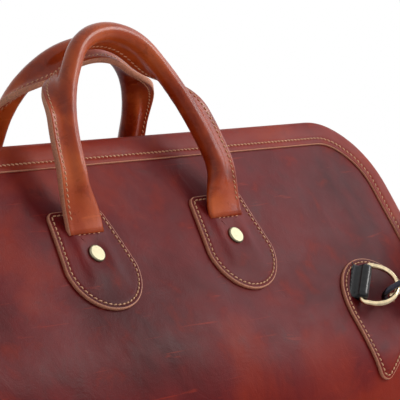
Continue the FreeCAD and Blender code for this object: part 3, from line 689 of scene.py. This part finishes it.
BASE_WALL = (               # height, out from the body
    (SEAM_Z - 3, 1.1), (SEAM_Z - 6, 0.7), (SEAM_Z - 8, 1.0), (34, 0.9), (28, 0.6), (22, 0.3), (16.5, 0.1),
    (12.6, 0.0), (9.8, 0.0), (8.3, 0.0),
)
FLOOR_TOP = FOOT_HEIGHT + LEATHER


def make_base():
    """Base leather: bottom and a low wall round it, with a sewn upper edge that laps over the panels."""
    rings = [
        base_ring(SEAM_Z, LEATHER + 0.2), level(base_ring(SEAM_Z + 0.2, 0.6), SEAM_Z + 1.2),
        level(base_ring(SEAM_Z, -1.0), SEAM_Z + 0.8),
    ]
    rings += [base_ring(z, -out) for z, out in BASE_WALL]
    rings[-1] = last = level(rings[-1], FOOT_HEIGHT)
    rings += [level(last, FOOT_HEIGHT + 0.4 * (1 - k), k) for k in (0.9, 0.7, 0.45, 0.2)]
    inner = [level(last, FLOOR_TOP, k) for k in (0.2, 0.6, 0.93)]
    inner += [base_ring(z, LEATHER + 0.2) for z in (14.0, 24.0, 36.0)]
    shape = tube_between(rings + inner, closed=True)
    base = piece("base_leather", shape, [BODY, EDGE], "bag", ["base_panel"])
    count = len(last)
    for polygon in base.data.polygons:
        steps = {v // count for v in polygon.vertices}
        if steps == {1, 2}:
            polygon.material_index = 1
    line = base_ring(SEAM_Z - 6, -1.25)
    line.append(line[0])
    normals = []
    for k in range(len(line)):
        way = line[(k + 1) % (len(line) - 1)] - line[k - 1 if k else len(line) - 2]
        normals.append(Vector((way.y, -way.x, 0)).normalized())
    piece("base_stitches", seam(line, normals, 4.2, 3.3, 0.5), THREAD, "bag")


def make_board():
    """Stiffener under the lining, with rounded corners."""
    low, high = FLOOR_TOP, FLOOR_TOP + BOARD
    steps = ((low, 14.0), (low, 12.0), (low + 1.0, 9.0), (high - 0.8, 5.0), (high, 5.6), (high, 8.0))
    shape = tube_between([level(base_ring(20.0, inset), z) for z, inset in steps])
    piece("base_stiffener", shape, BOARD_SKIN, "bag", ["base_board"])


def make_lining():
    """Cloth inside: two sides and a floor, sewn in below the zip, with slack folds."""
    gap = LEATHER + 0.6
    high = TOP_Z - 13.0
    squareness = 0.16
    levels = [high - (high - 20) * i / 26 for i in range(27)]
    rings = []
    for layer_in in (0.0, 0.8):
        group = []
        for z in levels[::-1] if layer_in else levels:
            half_x = min(half_at(z) - gap, half_at(max(z, 48)) - gap)
            half_y = depth_at(max(z, 40)) - gap
            ring = []
            for k in range(120):
                c, s = cos(2 * pi * k / 120), sin(2 * pi * k / 120)
                sign_x, sign_y = (1 if c > 0 else -1), (1 if s > 0 else -1)
                x = half_x * (abs(c) ** squareness) * sign_x
                y = half_y * (abs(s) ** squareness) * sign_y
                fold = layer_in + 1.4 * (0.5 + 0.5 * noise.noise(Vector((x / 30, z / 90, y / 40)))) + 0.3
                x -= fold * sign_x * min(1, abs(c) * 2)
                y -= fold * sign_y * min(1, abs(s) * 2)
                ring.append(Vector((x, y, z)))
            group.append(ring)
        edge = group[0] if layer_in else group[-1]
        floor_z = FLOOR_TOP + BOARD + 0.4 + layer_in
        flat = [level(edge, floor_z, k) for k in (0.97, 0.6, 0.2)]
        rings += flat[::-1] + group if layer_in else group + flat
    piece("inner_lining", tube_between(rings, closed=True), LINING, "bag", ["lining"])


# ---- sewn patches ----
def inset_loop(points, distance):
    """A closed outline moved inwards."""
    result = []
    count = len(points)
    for i in range(count):
        a = Vector(points[i - 1])
        b = Vector(points[(i + 1) % count])
        way = (b - a).normalized()
        result.append(Vector(points[i]) + Vector((-way.y, way.x)) * distance)
    return result


PATCH_EDGE = (              # in from the outline, share of the thickness, and more
    (0.0, 0.0, 0.0), (0.0, 0.72, 0.0), (0.35, 0.94, 0.0), (0.9, 1, 0.0), (2.5, 1, 0.05), (3.1, 1, -0.28),
    (3.7, 1, -0.28), (4.4, 1, 0.05), (6.5, 1, 0.1), (9.0, 1, 0.1),
)
SWELLS_FROM = 8             # a patch swells from this step inwards


def patch_mesh(outline, place, swell=None):
    """Leather patch with a raw edge and a sewn channel. outline runs anticlockwise."""
    loops = []
    for inset, share, more in PATCH_EDGE:
        loops.append([(p, PATCH * share + more) for p in inset_loop(outline, inset)])
    last = inset_loop(outline, PATCH_EDGE[-1][0])
    middle = Vector((sum(p.x for p in last) / len(last), sum(p.y for p in last) / len(last)))
    for k in (0.86, 0.72, 0.58, 0.44, 0.3, 0.16, 0.04):
        loops.append([(middle + (p - middle) * k, PATCH + 0.1) for p in last])
    rings = []
    for i, loop in enumerate(loops):
        swells = swell and i >= SWELLS_FROM
        rings.append([place(p.x, p.y, out + (swell(p.x, p.y) if swells else 0.0)) for p, out in loop])
    verts, faces, marks = tube_between(rings)
    edge_faces = 3 * len(outline)
    return verts, faces, [1 if k < edge_faces else 0 for k in range(len(faces))]


def outline_seam(outline, place, way_out):
    """Stitches in a patch's sewn channel."""
    loop = inset_loop(outline, 3.4)
    loop.append(loop[0])
    line = [place(p.x, p.y, PATCH) for p in loop]
    return seam(line, [way_out] * len(line), 4.1, 3.2, 0.6, 0.12)


def arc(cx, cy, r, a, b, steps):
    """Points of an arc in a plane."""
    angles = [mix(a, b, i / steps) for i in range(steps + 1)]
    return [Vector((cx + r * cos(angle), cy + r * sin(angle))) for angle in angles]


def spread(points, step):
    """More points on the straight runs of a closed outline."""
    result = []
    for i, p in enumerate(points):
        q = points[(i + 1) % len(points)]
        count = max(1, int((q - p).length / step))
        result += [p.lerp(q, k / count) for k in range(count)]
    return result


def handle_patch_outline():
    top, bottom, t, w, r = 38.0, 46.0, 28.0, 35.0, 7.0
    turn = w - bottom
    points = arc(t - r, top - r, r, 0, pi / 2, 6) + arc(-t + r, top - r, r, pi / 2, pi, 6)
    points += arc(0, turn, w, pi, 2 * pi, 30)
    return spread(points, 3.0)


def panel_spot(x0):
    """Maps a patch's own plane on to the front panel, with the rivet at its origin."""
    def place(x, y, out):
        return on_front(x0 + x, TOP_Z - (RIVET_DOWN - y) * cos(LEAN), out)
    return place


PANEL_OUT = Vector((0, -cos(LEAN), sin(LEAN)))


def tongue_swell(x, y):
    """Rise over the handle's end under the patch, pressed down at the rivet."""
    slit = RIVET_DOWN - LEG_END_DOWN
    over = smooth(20, 13, abs(x)) * smooth(-30, -16, y) * smooth(slit + 1.0, slit - 1.5, y)
    lip = 0.8 * smooth(19, 15, abs(x)) * smooth(slit - 6, slit - 1, y) * smooth(slit + 1.5, slit, y)
    rivet = smooth(5.5, 13, hypot(x, y))
    return (1.3 * over) * rivet + lip


def make_handle_patches():
    outline = handle_patch_outline()
    slit = RIVET_DOWN - LEG_END_DOWN
    for side, other, x0 in (("left", "right", -HANDLE_SPACING / 2), ("right", "left", HANDLE_SPACING / 2)):
        place = panel_spot(x0)
        patch = patch_mesh(outline, place, tongue_swell)
        round_seam = outline_seam(outline, place, PANEL_OUT)
        row = [place(x, slit - 4.0, PATCH + 1.35) for x in (-11.0, 13.0)]
        stitches = gather([round_seam, seam(row, [PANEL_OUT, PANEL_OUT], 4.6, 3.2, 0.55, 0.1)])
        for kind, shape, materials in (("leather", patch, [BODY, EDGE]), ("stitches", stitches, THREAD)):
            for name, made in (("front_" + side, shape), ("back_" + other, turned_shape(shape))):
                nodes = [name + "_handle_patch"] if kind == "leather" else []
                piece("%s_patch_%s" % (name, kind), made, materials, "bag", nodes)


# ---- handles ----
def arch(side_radius, side_angle):
    """Function from 0 at the right foot to 1 at the left foot: point and way in the arch's plane."""
    half = HANDLE_SPACING / 2
    a = radians(side_angle)
    join = Vector((half - side_radius * (1 - cos(a)), side_radius * sin(a)))
    top_radius = join.x / cos(a)
    centre_y = join.y - top_radius * sin(a)
    side_length = side_radius * a
    top_length = top_radius * (pi - 2 * a)
    total = 2 * side_length + top_length

    def at(s):
        length = s * total
        if length < side_length:
            b = length / side_radius
            place = Vector((half - side_radius * (1 - cos(b)), side_radius * sin(b)))
            return place, Vector((-sin(b), cos(b)))
        if length < side_length + top_length:
            b = a + (length - side_length) / top_radius
            return Vector((top_radius * cos(b), centre_y + top_radius * sin(b))), Vector((-sin(b), cos(b)))
        b = (total - length) / side_radius
        return Vector((-half + side_radius * (1 - cos(b)), side_radius * sin(b))), Vector((-sin(b), -cos(b)))

    return at, total


def half_section(points):
    """A section that is the same on both sides of its middle line."""
    return points + [(u, -v) for u, v in points[::-1]]


ROLL_SECTION = half_section([
    (15.6, 1.7), (15.1, 2.15), (13.4, 2.25), (12.0, 2.0), (10.8, 2.25), (8.4, 2.4), (6.8, 3.0),
    (5.4, 3.9), (4.0, 4.95), (2.2, 5.85), (0.2, 6.2), (-2.0, 5.9), (-4.0, 4.75), (-5.5, 2.9), (-6.2, 0.9),
])
FOOT_SECTION = half_section([
    (16.6, 1.5), (16.1, 2.0), (14.4, 2.2), (13.0, 2.0), (11.6, 2.3), (8.6, 2.7), (6.0, 3.0),
    (3.0, 3.3), (0.0, 3.4), (-3.0, 3.3), (-6.5, 3.0), (-10.0, 2.6), (-13.0, 2.2), (-15.4, 1.7), (-16.2, 0.6),
])
STITCH_U = 12.2
FULLNESS = 1.18            # the roll is this much fuller than its core needs
LEG_END_DOWN = 75.0        # where the leg dips under the patch
ARCH_STEPS = 74
LEG_STEPS = 14


def handle_frames(front, side_radius, side_angle, tilt):
    """Rows along the handle: middle, flange way, face way and how far it has become a roll."""
    at, total = arch(side_radius, side_angle)
    side = -1 if front else 1
    foot_y = TOP_HALF_DEPTH + HANDLE_DOWN * sin(LEAN) + HANDLE_OUT * cos(LEAN)
    foot_z = TOP_Z - HANDLE_DOWN * cos(LEAN) + HANDLE_OUT * sin(LEAN)
    t = radians(tilt)
    up = Vector((0, -side * sin(t), cos(t)))
    inward = Vector((0, -side * cos(t), -sin(t)))
    origin = Vector((0, side * foot_y, foot_z))
    join = 34.0 / total
    slit = Vector((0, side * (TOP_HALF_DEPTH + LEG_END_DOWN * sin(LEAN)), TOP_Z - LEG_END_DOWN * cos(LEAN)))
    out = Vector((0, side * cos(LEAN), sin(LEAN)))
    panel_up = Vector((0, -side * sin(LEAN), cos(LEAN)))

    def world(p):
        """Place of a point of the arch; the soft arch leans sideways as it rises."""
        share = smooth(5, 110, p.y)
        lean = share * (mix(17.0, 7.0, smooth(-30, 60, p.x)) if front else 6.0)
        return origin + Vector((p.x - lean, 0, 0)) + up * (p.y * (1.0 if front else 1.0 + 0.07 * share))

    def leg(sign):
        """From under the patch up to the free arch."""
        p, way = at(join)
        p = Vector((sign * p.x, p.y))
        way = Vector((sign * way.x, way.y))
        end = world(p)
        end_way = Vector((way.x, 0, 0)) + up * way.y
        start = Vector((sign * HANDLE_SPACING / 2, 0, 0)) + slit + out * 2.6 - panel_up * 3.0
        start_way = (panel_up + out * 0.34).normalized()
        reach = (end - start).length
        points = []
        for i in range(LEG_STEPS + 1):
            k = i / LEG_STEPS
            a, b = start + start_way * reach * 0.42, end - end_way * reach * 0.36
            point = start * (1 - k) ** 3 + a * 3 * k * (1 - k) ** 2 + b * 3 * k * k * (1 - k) + end * k ** 3
            way3 = (a - start) * (1 - k) ** 2 + (b - a) * 2 * k * (1 - k) + (end - b) * k * k
            way3.normalize()
            flange = Vector((sign, 0, 0))
            flange = (flange - way3 * flange.dot(way3)).normalized()
            points.append((point, flange, way3, smooth(0.12, 1.0, k)))
        return points

    rows = leg(1)
    for i in range(1, ARCH_STEPS):
        s = mix(join, 1 - join, i / ARCH_STEPS)
        p, way = at(s)
        way3 = Vector((way.x, 0, 0)) + up * way.y
        outward = (Vector((way.y, 0, 0)) - up * way.x).normalized()
        turn = radians(112 if front else 104) * smooth(0.2, 0.4, min(s, 1 - s))
        flange = outward * cos(turn) + inward * sin(turn)
        rows.append((world(p), flange, way3, 1.0))
    return rows + [(p, flange, -way3, k) for p, flange, way3, k in leg(-1)[::-1]]


def make_handle(front):
    """Leather rolled round a rope, its edges sewn into a flange; flat where it goes under the patches."""
    side = "front" if front else "back"
    shape = (200.0, 37.0, 11.0) if front else (640.0, 6.6, 29.2)
    rows = handle_frames(front, *shape)
    rings = []
    for index, (point, flange, way, k) in enumerate(rows):
        face = way.cross(flange).normalized()
        wobble = 1 + 0.035 * noise.noise(Vector((index / 7, 2.0 if front else 8.0, 0)))
        ring = []
        for (fu, fv), (ru, rv) in zip(FOOT_SECTION, ROLL_SECTION):
            u = mix(fu, ru, k) * mix(1.06, FULLNESS, k)
            v = mix(fv, rv * FULLNESS, k) * wobble
            ring.append(point + flange * u + face * v)
        rings.append(ring)
    marks = [1] + [0] * (len(ROLL_SECTION) - 3) + [1, 1]
    leather_piece = piece(side + "_handle_leather", tube_between(rings, marks=marks), [HANDLE, EDGE], None,
                          [side + "_handle", side + "_handle_rope",
                                             side + "_left_handle_tongue", side + "_right_handle_tongue"])
    parts = []
    for up in (1, -1):
        line, normals = [], []
        for point, flange, way, k in rows[3:-3]:
            face = way.cross(flange).normalized()
            off = up * 2.15 * mix(1.0, FULLNESS, k)
            line.append(point + flange * mix(14.0, STITCH_U * FULLNESS, k) + face * off)
            normals.append(face * up)
        parts.append(seam(line, normals, 4.1, 3.2, 0.52, 0.38))
    stitches = piece(side + "_handle_stitches", gather(parts), THREAD, None)
    for obj in (leather_piece, stitches):
        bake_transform(obj)


# ---- ring patches and loops ----
slope = (RING_Z - bend_foot_z) / BEND_RADIUS
RING_OUT = Vector((0, -sqrt(1 - slope ** 2), slope))
RING_UP = Vector((0, slope, sqrt(1 - slope ** 2)))
RING_MIDDLE = Vector((RING_X, -depth_at(RING_Z), RING_Z))


def ring_direction(degrees):
    t = radians(degrees)
    return RING_UP * cos(t) + Vector((1, 0, 0)) * sin(t)


patch_up = ring_direction(19.0)
patch_right = patch_up.cross(RING_OUT)
bar_way = ring_direction(40.0)
bar_right = bar_way.cross(RING_OUT)
BAR = Vector((183.57, -102.297, 169.765))      # middle of the ring's bar
ROLL = 5.16                                    # radius of the loop's roll round it
LOOP_HALF = 16.0
LOOP_LOW = -7.4                                # panel's side of the loop's tail, from the bar
LOOP_TAIL = [
    (-5.6, -3.0), (-7.0, -4.0), (-8.6, -4.3), (-9.4, -4.6), (-9.8, -5.0), (-9.6, LOOP_LOW + 1.9),
    (-6.0, LOOP_LOW + 1.6), (0.5, LOOP_LOW + 1.9),
]


def ring_spot(x, y, out):
    p = RING_MIDDLE + patch_right * x + patch_up * y
    return on_front(p.x, p.z, out)


def teardrop():
    r, tip, y1, y0 = 38.0, 8.0, 6.0, -52.0
    side = asin((r - tip) / (y1 - y0))
    points = arc(0, y1, r, -side, pi + side, 40)
    points += arc(0, y0, tip, pi + side, 2 * pi - side, 10)
    return spread(points, 3.0)


def make_ring_patches():
    outline = teardrop()
    pair("%s_ring_patch_leather", patch_mesh(outline, ring_spot), [BODY, EDGE],
         replaces=["%s_ring_patch"])

    def beside_bar(length, across, out):
        """Line along the ring's bar, across from it by a distance."""
        places = [BAR + bar_way * (length * k) + bar_right * across for k in (-0.5, 0.5)]
        return [on_front(p.x, p.z, PATCH + out) for p in places], [RING_OUT] * 2

    round_seam = outline_seam(outline, ring_spot, RING_OUT)
    bar_seam = seam(*beside_bar(30.0, 9.5, 0.2), 4.2, 3.2, 0.5, 0.1)
    pair("%s_ring_patch_stitches", gather([round_seam, bar_seam]), THREAD)
    tail_seam = seam(*beside_bar(27.0, -8.2, 3.0), 4.2, 3.0, 0.5, 0.0)
    pair("%s_ring_loop_stitches", tail_seam, DARK_THREAD)


def make_ring_loops():
    """Strip of black leather rolled round the ring's bar, its tail sewn down beside it."""
    rings = []
    for i in range(23):
        k = -LOOP_HALF + 2 * LOOP_HALF * i / 22
        radius = ROLL * (1 - 0.10 * smooth(LOOP_HALF - 3.2, LOOP_HALF, abs(k)) + 0.02 * sin(k * 0.9))
        section = []
        for j in range(29):
            a = radians(-68 + 228 * j / 28)
            section.append((radius * cos(a), radius * sin(a) + 0.12 * sin(5 * a + 1)))
        rings.append([BAR + bar_way * k + bar_right * u + RING_OUT * v for u, v in section + LOOP_TAIL])
    pair("%s_ring_loop_leather", tube_between(rings), BLACK, replaces=["%s_ring_loop"])


# ---- zip ----
ZIP_END = 213.5
PULL_X = 219.0
PULL_Z = 304.3


def strip_mesh(y0, y1, z0, z1, wave):
    """Long flat strip along X with eased edges and a little waviness."""
    r = min(0.5, (z1 - z0) * 0.4)
    section = [(y0 + r, z0), (y1 - r, z0), (y1, z0 + r), (y1, z1 - r), (y1 - r, z1), ((y0 + y1) / 2, z1),
               (y0 + r, z1), (y0, z1 - r), (y0, z0 + r)]
    rings = []
    count = 120
    for i in range(count + 1):
        x = -ZIP_END + 2 * ZIP_END * i / count
        lift = wave * (noise.noise(Vector((x / 40, y0, 0))) - 0.5) * smooth(ZIP_END, ZIP_END - 30, abs(x))
        rings.append([Vector((x, y, z + lift)) for y, z in section])
    return tube_between(rings)


def make_zip():
    bodies = ("front_flap", "back_flap")
    facing = strip_mesh(-15.2, -7.0, 298.4, TOP_Z, 0.3)
    pair("%s_zip_facing_leather", facing, BINDING, bodies, ["%s_zip_facing"])
    tape = strip_mesh(-14.0, -4.0, 297.75, 298.35, 0.2)
    pair("%s_zip_tape_cloth", tape, TAPE, bodies, ["%s_zip_tape"])
    parts = []
    for y in (-8.8, -13.2):
        row = [Vector((x, y, TOP_Z)) for x in (-ZIP_END + 3, ZIP_END - 3)]
        parts.append(seam(row, [Vector((0, 0, 1))] * 2, 3.6, 2.8, 0.4))
    pair("%s_zip_stitches", gather(parts), THREAD, bodies)


def make_zip_pull():
    """Leather tab on the slider's pin, with a rounded end and a sewn edge."""
    x0, z = PULL_X, PULL_Z
    outline = arc(x0 + 41.0, 0, 5.0, -pi / 2, pi / 2, 10) + [Vector((x0 + 5, 4.6)), Vector((x0 + 5, -4.6))]
    outline = spread(outline, 2.0)
    edge = ((0.9, -1.15), (0.25, -1.1), (0, -0.6), (0, 0.6), (0.25, 1.1), (0.9, 1.2), (2.4, 1.25))
    tab = tube_between([level(inset_loop(outline, inset), z + height) for inset, height in edge])
    piece("zip_pull_tab", turned_shape(tab), HANDLE, "pull", ["zip_pull"])
    half_wire = [(0, 3.9, 0), (3, 3.9, 0), (6.4, 3.6, 0), (8.5, 2.0, 0.4), (8.5, 0, 0.5)]
    wire = [Vector((x0 + x, -y, z + up)) for x, y, up in half_wire]
    wire += [Vector((x0 + x, y, z + up)) for x, y, up in half_wire[-2::-1]]
    pin = [Vector((x0, y, z)) for y in (4.0, 0.0, -4.0)]
    wires = gather([wire_mesh(wire, 0.95), wire_mesh(pin, 1.0)])
    piece("zip_pull_wire", turned_shape(wires), BRASS, "pull", ["zip_pull"])


def wire_mesh(points, radius):
    """Round wire along a line of points."""
    rings = []
    normal = None
    for i, p in enumerate(points):
        way = way_at(points, i)
        if normal is None:
            normal = way.orthogonal().normalized()
        normal = (normal - way * normal.dot(way)).normalized()
        side = way.cross(normal)
        turns = [2 * pi * k / 10 for k in range(10)]
        rings.append([p + (normal * cos(a) + side * sin(a)) * radius for a in turns])
    return tube_between(rings)


# ---- shoulder strap ----
HOOK_WAY = Vector((0.89892, -0.29964, 0.31962)).normalized()
STRAP_START = Vector((260.612, -139.595, 183.047))
TAB_LENGTH = 34.0
PAD_X = 60.0
PAD_Y = 172.0
PAD_Z = 29.4
BUCKLE_X = -110
BUCKLE_Z = 24.4
KEEPER_X = (-81, -67)
KEEPER_Z = 22.4
STRAP_ENDS = [STRAP_START, STRAP_START + HOOK_WAY * TAB_LENGTH]
STRAP_BENDS = [
    (338, -128, 236), (364, -72, 214), (368, 0, 158), (352, 72, 92), (316, 128, 46), (256, 162, 31),
    (172, PAD_Y - 2, PAD_Z), (-10, PAD_Y + 1, PAD_Z), (-150, PAD_Y, PAD_Z - 2),
    (-236, 186, 26), (-306, 212, 44), (-352, 214, 92), (-366, 190, 150), (-352, 160, 210),
]
STRAP_ROUTE = STRAP_ENDS + [Vector(p) for p in STRAP_BENDS] + turned(STRAP_ENDS[::-1])
STRAP_SECTION = [
    (-19, -0.7), (-18.6, -1.2), (-15, -1.3), (-6, -1.25), (6, -1.25), (15, -1.3), (18.6, -1.2), (19, -0.7),
]
STRAP_SECTION += [(u, -v) for u, v in STRAP_SECTION[::-1]]


def route_points():
    """Points along the strap's own smooth line."""
    data = bpy.data.curves.new("route", "CURVE")
    data.dimensions = "3D"
    data.resolution_u = 16
    spline = data.splines.new("NURBS")
    spline.points.add(len(STRAP_ROUTE) - 1)
    for point, at in zip(spline.points, STRAP_ROUTE):
        point.co = (at.x * MM, at.y * MM, at.z * MM, 1.0)
    spline.order_u = 3
    spline.use_endpoint_u = True
    holder = bpy.data.objects.new("route", data)
    mesh = bpy.data.meshes.new_from_object(holder)
    points = [v.co / MM for v in mesh.vertices]
    bpy.data.objects.remove(holder)
    bpy.data.meshes.remove(mesh)
    bpy.data.curves.remove(data)
    return points


def make_strap():
    points = route_points()
    rings = []
    for i, p in enumerate(points):
        way = way_at(points, i)
        across = (Vector((0, 0, 1)) - way * way.z).normalized()
        through = way.cross(across).normalized()
        rings.append([p + across * u + through * v for u, v in STRAP_SECTION])
    shape = tube_between(rings)
    strap = piece("shoulder_strap_webbing", shape, WEBBING, "bag", ["shoulder_strap"])
    return strap, points, sum((b - a).length for a, b in zip(points, points[1:])) * MM


def rounded_section(half_u, half_v, radius, steps=4):
    points = []
    reach_u, reach_v = half_u - radius, half_v - radius
    for quarter, (su, sv) in enumerate(((1, 1), (-1, 1), (-1, -1), (1, -1))):
        for k in range(steps + 1):
            a = quarter * pi / 2 + pi / 2 * k / steps
            points.append((su * reach_u + radius * cos(a), sv * reach_v + radius * sin(a)))
    return points


def make_pad():
    """Padded sleeve on the strap where it lies behind the bag."""
    length, width, thick = 206.0, 55.0, 9.0
    rings = []
    for i in range(47):
        t = -1 + 2 * i / 46
        ease = (1 - abs(t) ** 5) ** 0.5 if abs(t) < 1 else 0.0
        half_u = mix(width * 0.30, width / 2, ease)
        half_v = mix(1.8, thick / 2, ease ** 0.7)
        section = rounded_section(half_u, half_v, min(half_v * 0.92, 4.0), 5)
        x = PAD_X + t * length / 2
        rings.append([Vector((x, PAD_Y + 0.4 + v, PAD_Z + 0.2 + u)) for u, v in section])
    pad = piece("shoulder_pad_cushion", tube_between(rings), BLACK, "bag", ["shoulder_pad"])
    puff(pad, 0.0045, 0.0035, 4.0)
    return pad


def baked(obj):
    """The object's mesh with its modifiers applied and taken off."""
    depsgraph = bpy.context.evaluated_depsgraph_get()
    mesh = bpy.data.meshes.new_from_object(obj.evaluated_get(depsgraph))
    obj.modifiers.clear()
    materials = list(obj.data.materials)
    mesh.materials.clear()
    for m in materials:
        mesh.materials.append(m)
    return mesh


def puff(obj, voxel, most, pressure):
    """Blows a padded piece up with cloth simulation, each point held near where it began."""
    scene = bpy.context.scene
    remesh = obj.modifiers.new("remesh", "REMESH")
    remesh.mode = "VOXEL"
    remesh.voxel_size = voxel
    obj.data = baked(obj)
    start = [v.co.copy() for v in obj.data.vertices]
    cloth = obj.modifiers.new("cloth", "CLOTH")
    cloth.settings.use_pressure = True
    cloth.settings.uniform_pressure_force = pressure
    cloth.settings.effector_weights.gravity = 0.0
    cloth.settings.quality = 5
    for f in range(1, 21):
        scene.frame_set(f)
    result = baked(obj)
    for v, s in zip(result.vertices, start):
        move = v.co - s
        if move.length > most:
            v.co = s + move.normalized() * most
    result.polygons.foreach_set("use_smooth", [True] * len(result.polygons))
    obj.data = result
    finer = obj.modifiers.new("finer", "SUBSURF")
    finer.levels = 1
    finer.render_levels = 1
    scene.frame_set(1)


def make_strap_fittings():
    """Slide buckle and keeper on the strap's lower run, and the sewn tabs at its ends."""
    half_u, half_x = 24.0 - 2.2, 15.0 - 2.2
    frame_line = rounded_section(half_u, half_x, 4.0, 6)
    loop = [Vector((BUCKLE_X + v, PAD_Y + 2.6, BUCKLE_Z + u)) for u, v in frame_line]
    bar_places = ((-2.6, -1), (-2.8, -0.6), (-2.8, 0.6), (-2.6, 1))
    bar = [Vector((BUCKLE_X, PAD_Y + y, BUCKLE_Z + half_u * k)) for y, k in bar_places]
    wires = gather([wire_mesh(loop + loop[:2], 2.1), wire_mesh(bar, 1.9)])
    buckle = piece("strap_slide_buckle", wires, GOLD, "bag", ["strap_buckle"])
    outer, inner = rounded_section(22.0, 3.6, 1.6), rounded_section(20.2, 2.0, 0.6)
    rings = []
    for x, section in zip(KEEPER_X + KEEPER_X[::-1], (outer, outer, inner, inner)):
        rings.append([Vector((x, PAD_Y + v, KEEPER_Z + u)) for u, v in section])
    keeper = piece("strap_keeper_loop", tube_between(rings, closed=True), BLACK, "bag",
                   ["strap_keeper"])
    across = Vector((0, 0, 1)).cross(HOOK_WAY).normalized()
    side = HOOK_WAY.cross(across)
    rings = []
    for i in range(18):
        t = i / 17
        half_v = mix(3.9, 2.2, smooth(0.0, 0.9, 1 - t)) if t < 0.9 else 3.6
        half_w = 18.8 - 0.8 * smooth(0.9, 1.0, t)
        middle = STRAP_START - HOOK_WAY * (TAB_LENGTH * t + 0.4)
        section = rounded_section(half_w, half_v, min(1.2, half_v * 0.8))
        rings.append([middle + side * u + across * v for u, v in section])
    tab = tube_between(rings)
    tabs = pair("%s_strap_end_tab", tab, BLACK, replaces=["%s_strap_tab"])
    return [buckle, keeper] + tabs


make_panels()
make_bindings()
make_gussets()
make_base()
make_board()
make_lining()
make_handle_patches()
make_handle(True)
make_handle(False)
make_ring_patches()
make_ring_loops()
make_zip()
make_zip_pull()
strap, strap_line, strap_length = make_strap()
pad = make_pad()
fittings = make_strap_fittings()

# ---- carried-over metal ----
METAL = {
    "_handle_rivet": RIVET, "_d_ring": GOLD, "base_feet": GOLD, "_hook_trigger": GOLD,
    "_snap_hook": GUNMETAL, "_hook_eye": GUNMETAL, "_zip_teeth": BRASS, "zip_slider": BRASS,
}
for node_name, obj in frame["nodes"].items():
    for ending, material in METAL.items():
        if node_name.endswith(ending):
            obj.data.materials.clear()
            obj.data.materials.append(material)

on_strap = [pad] + fittings
for side in ("front", "back"):
    on_strap += [frame["nodes"][side + ending] for ending in ("_hook_eye", "_snap_hook", "_hook_trigger")]
[p * MM for p in strap_line]
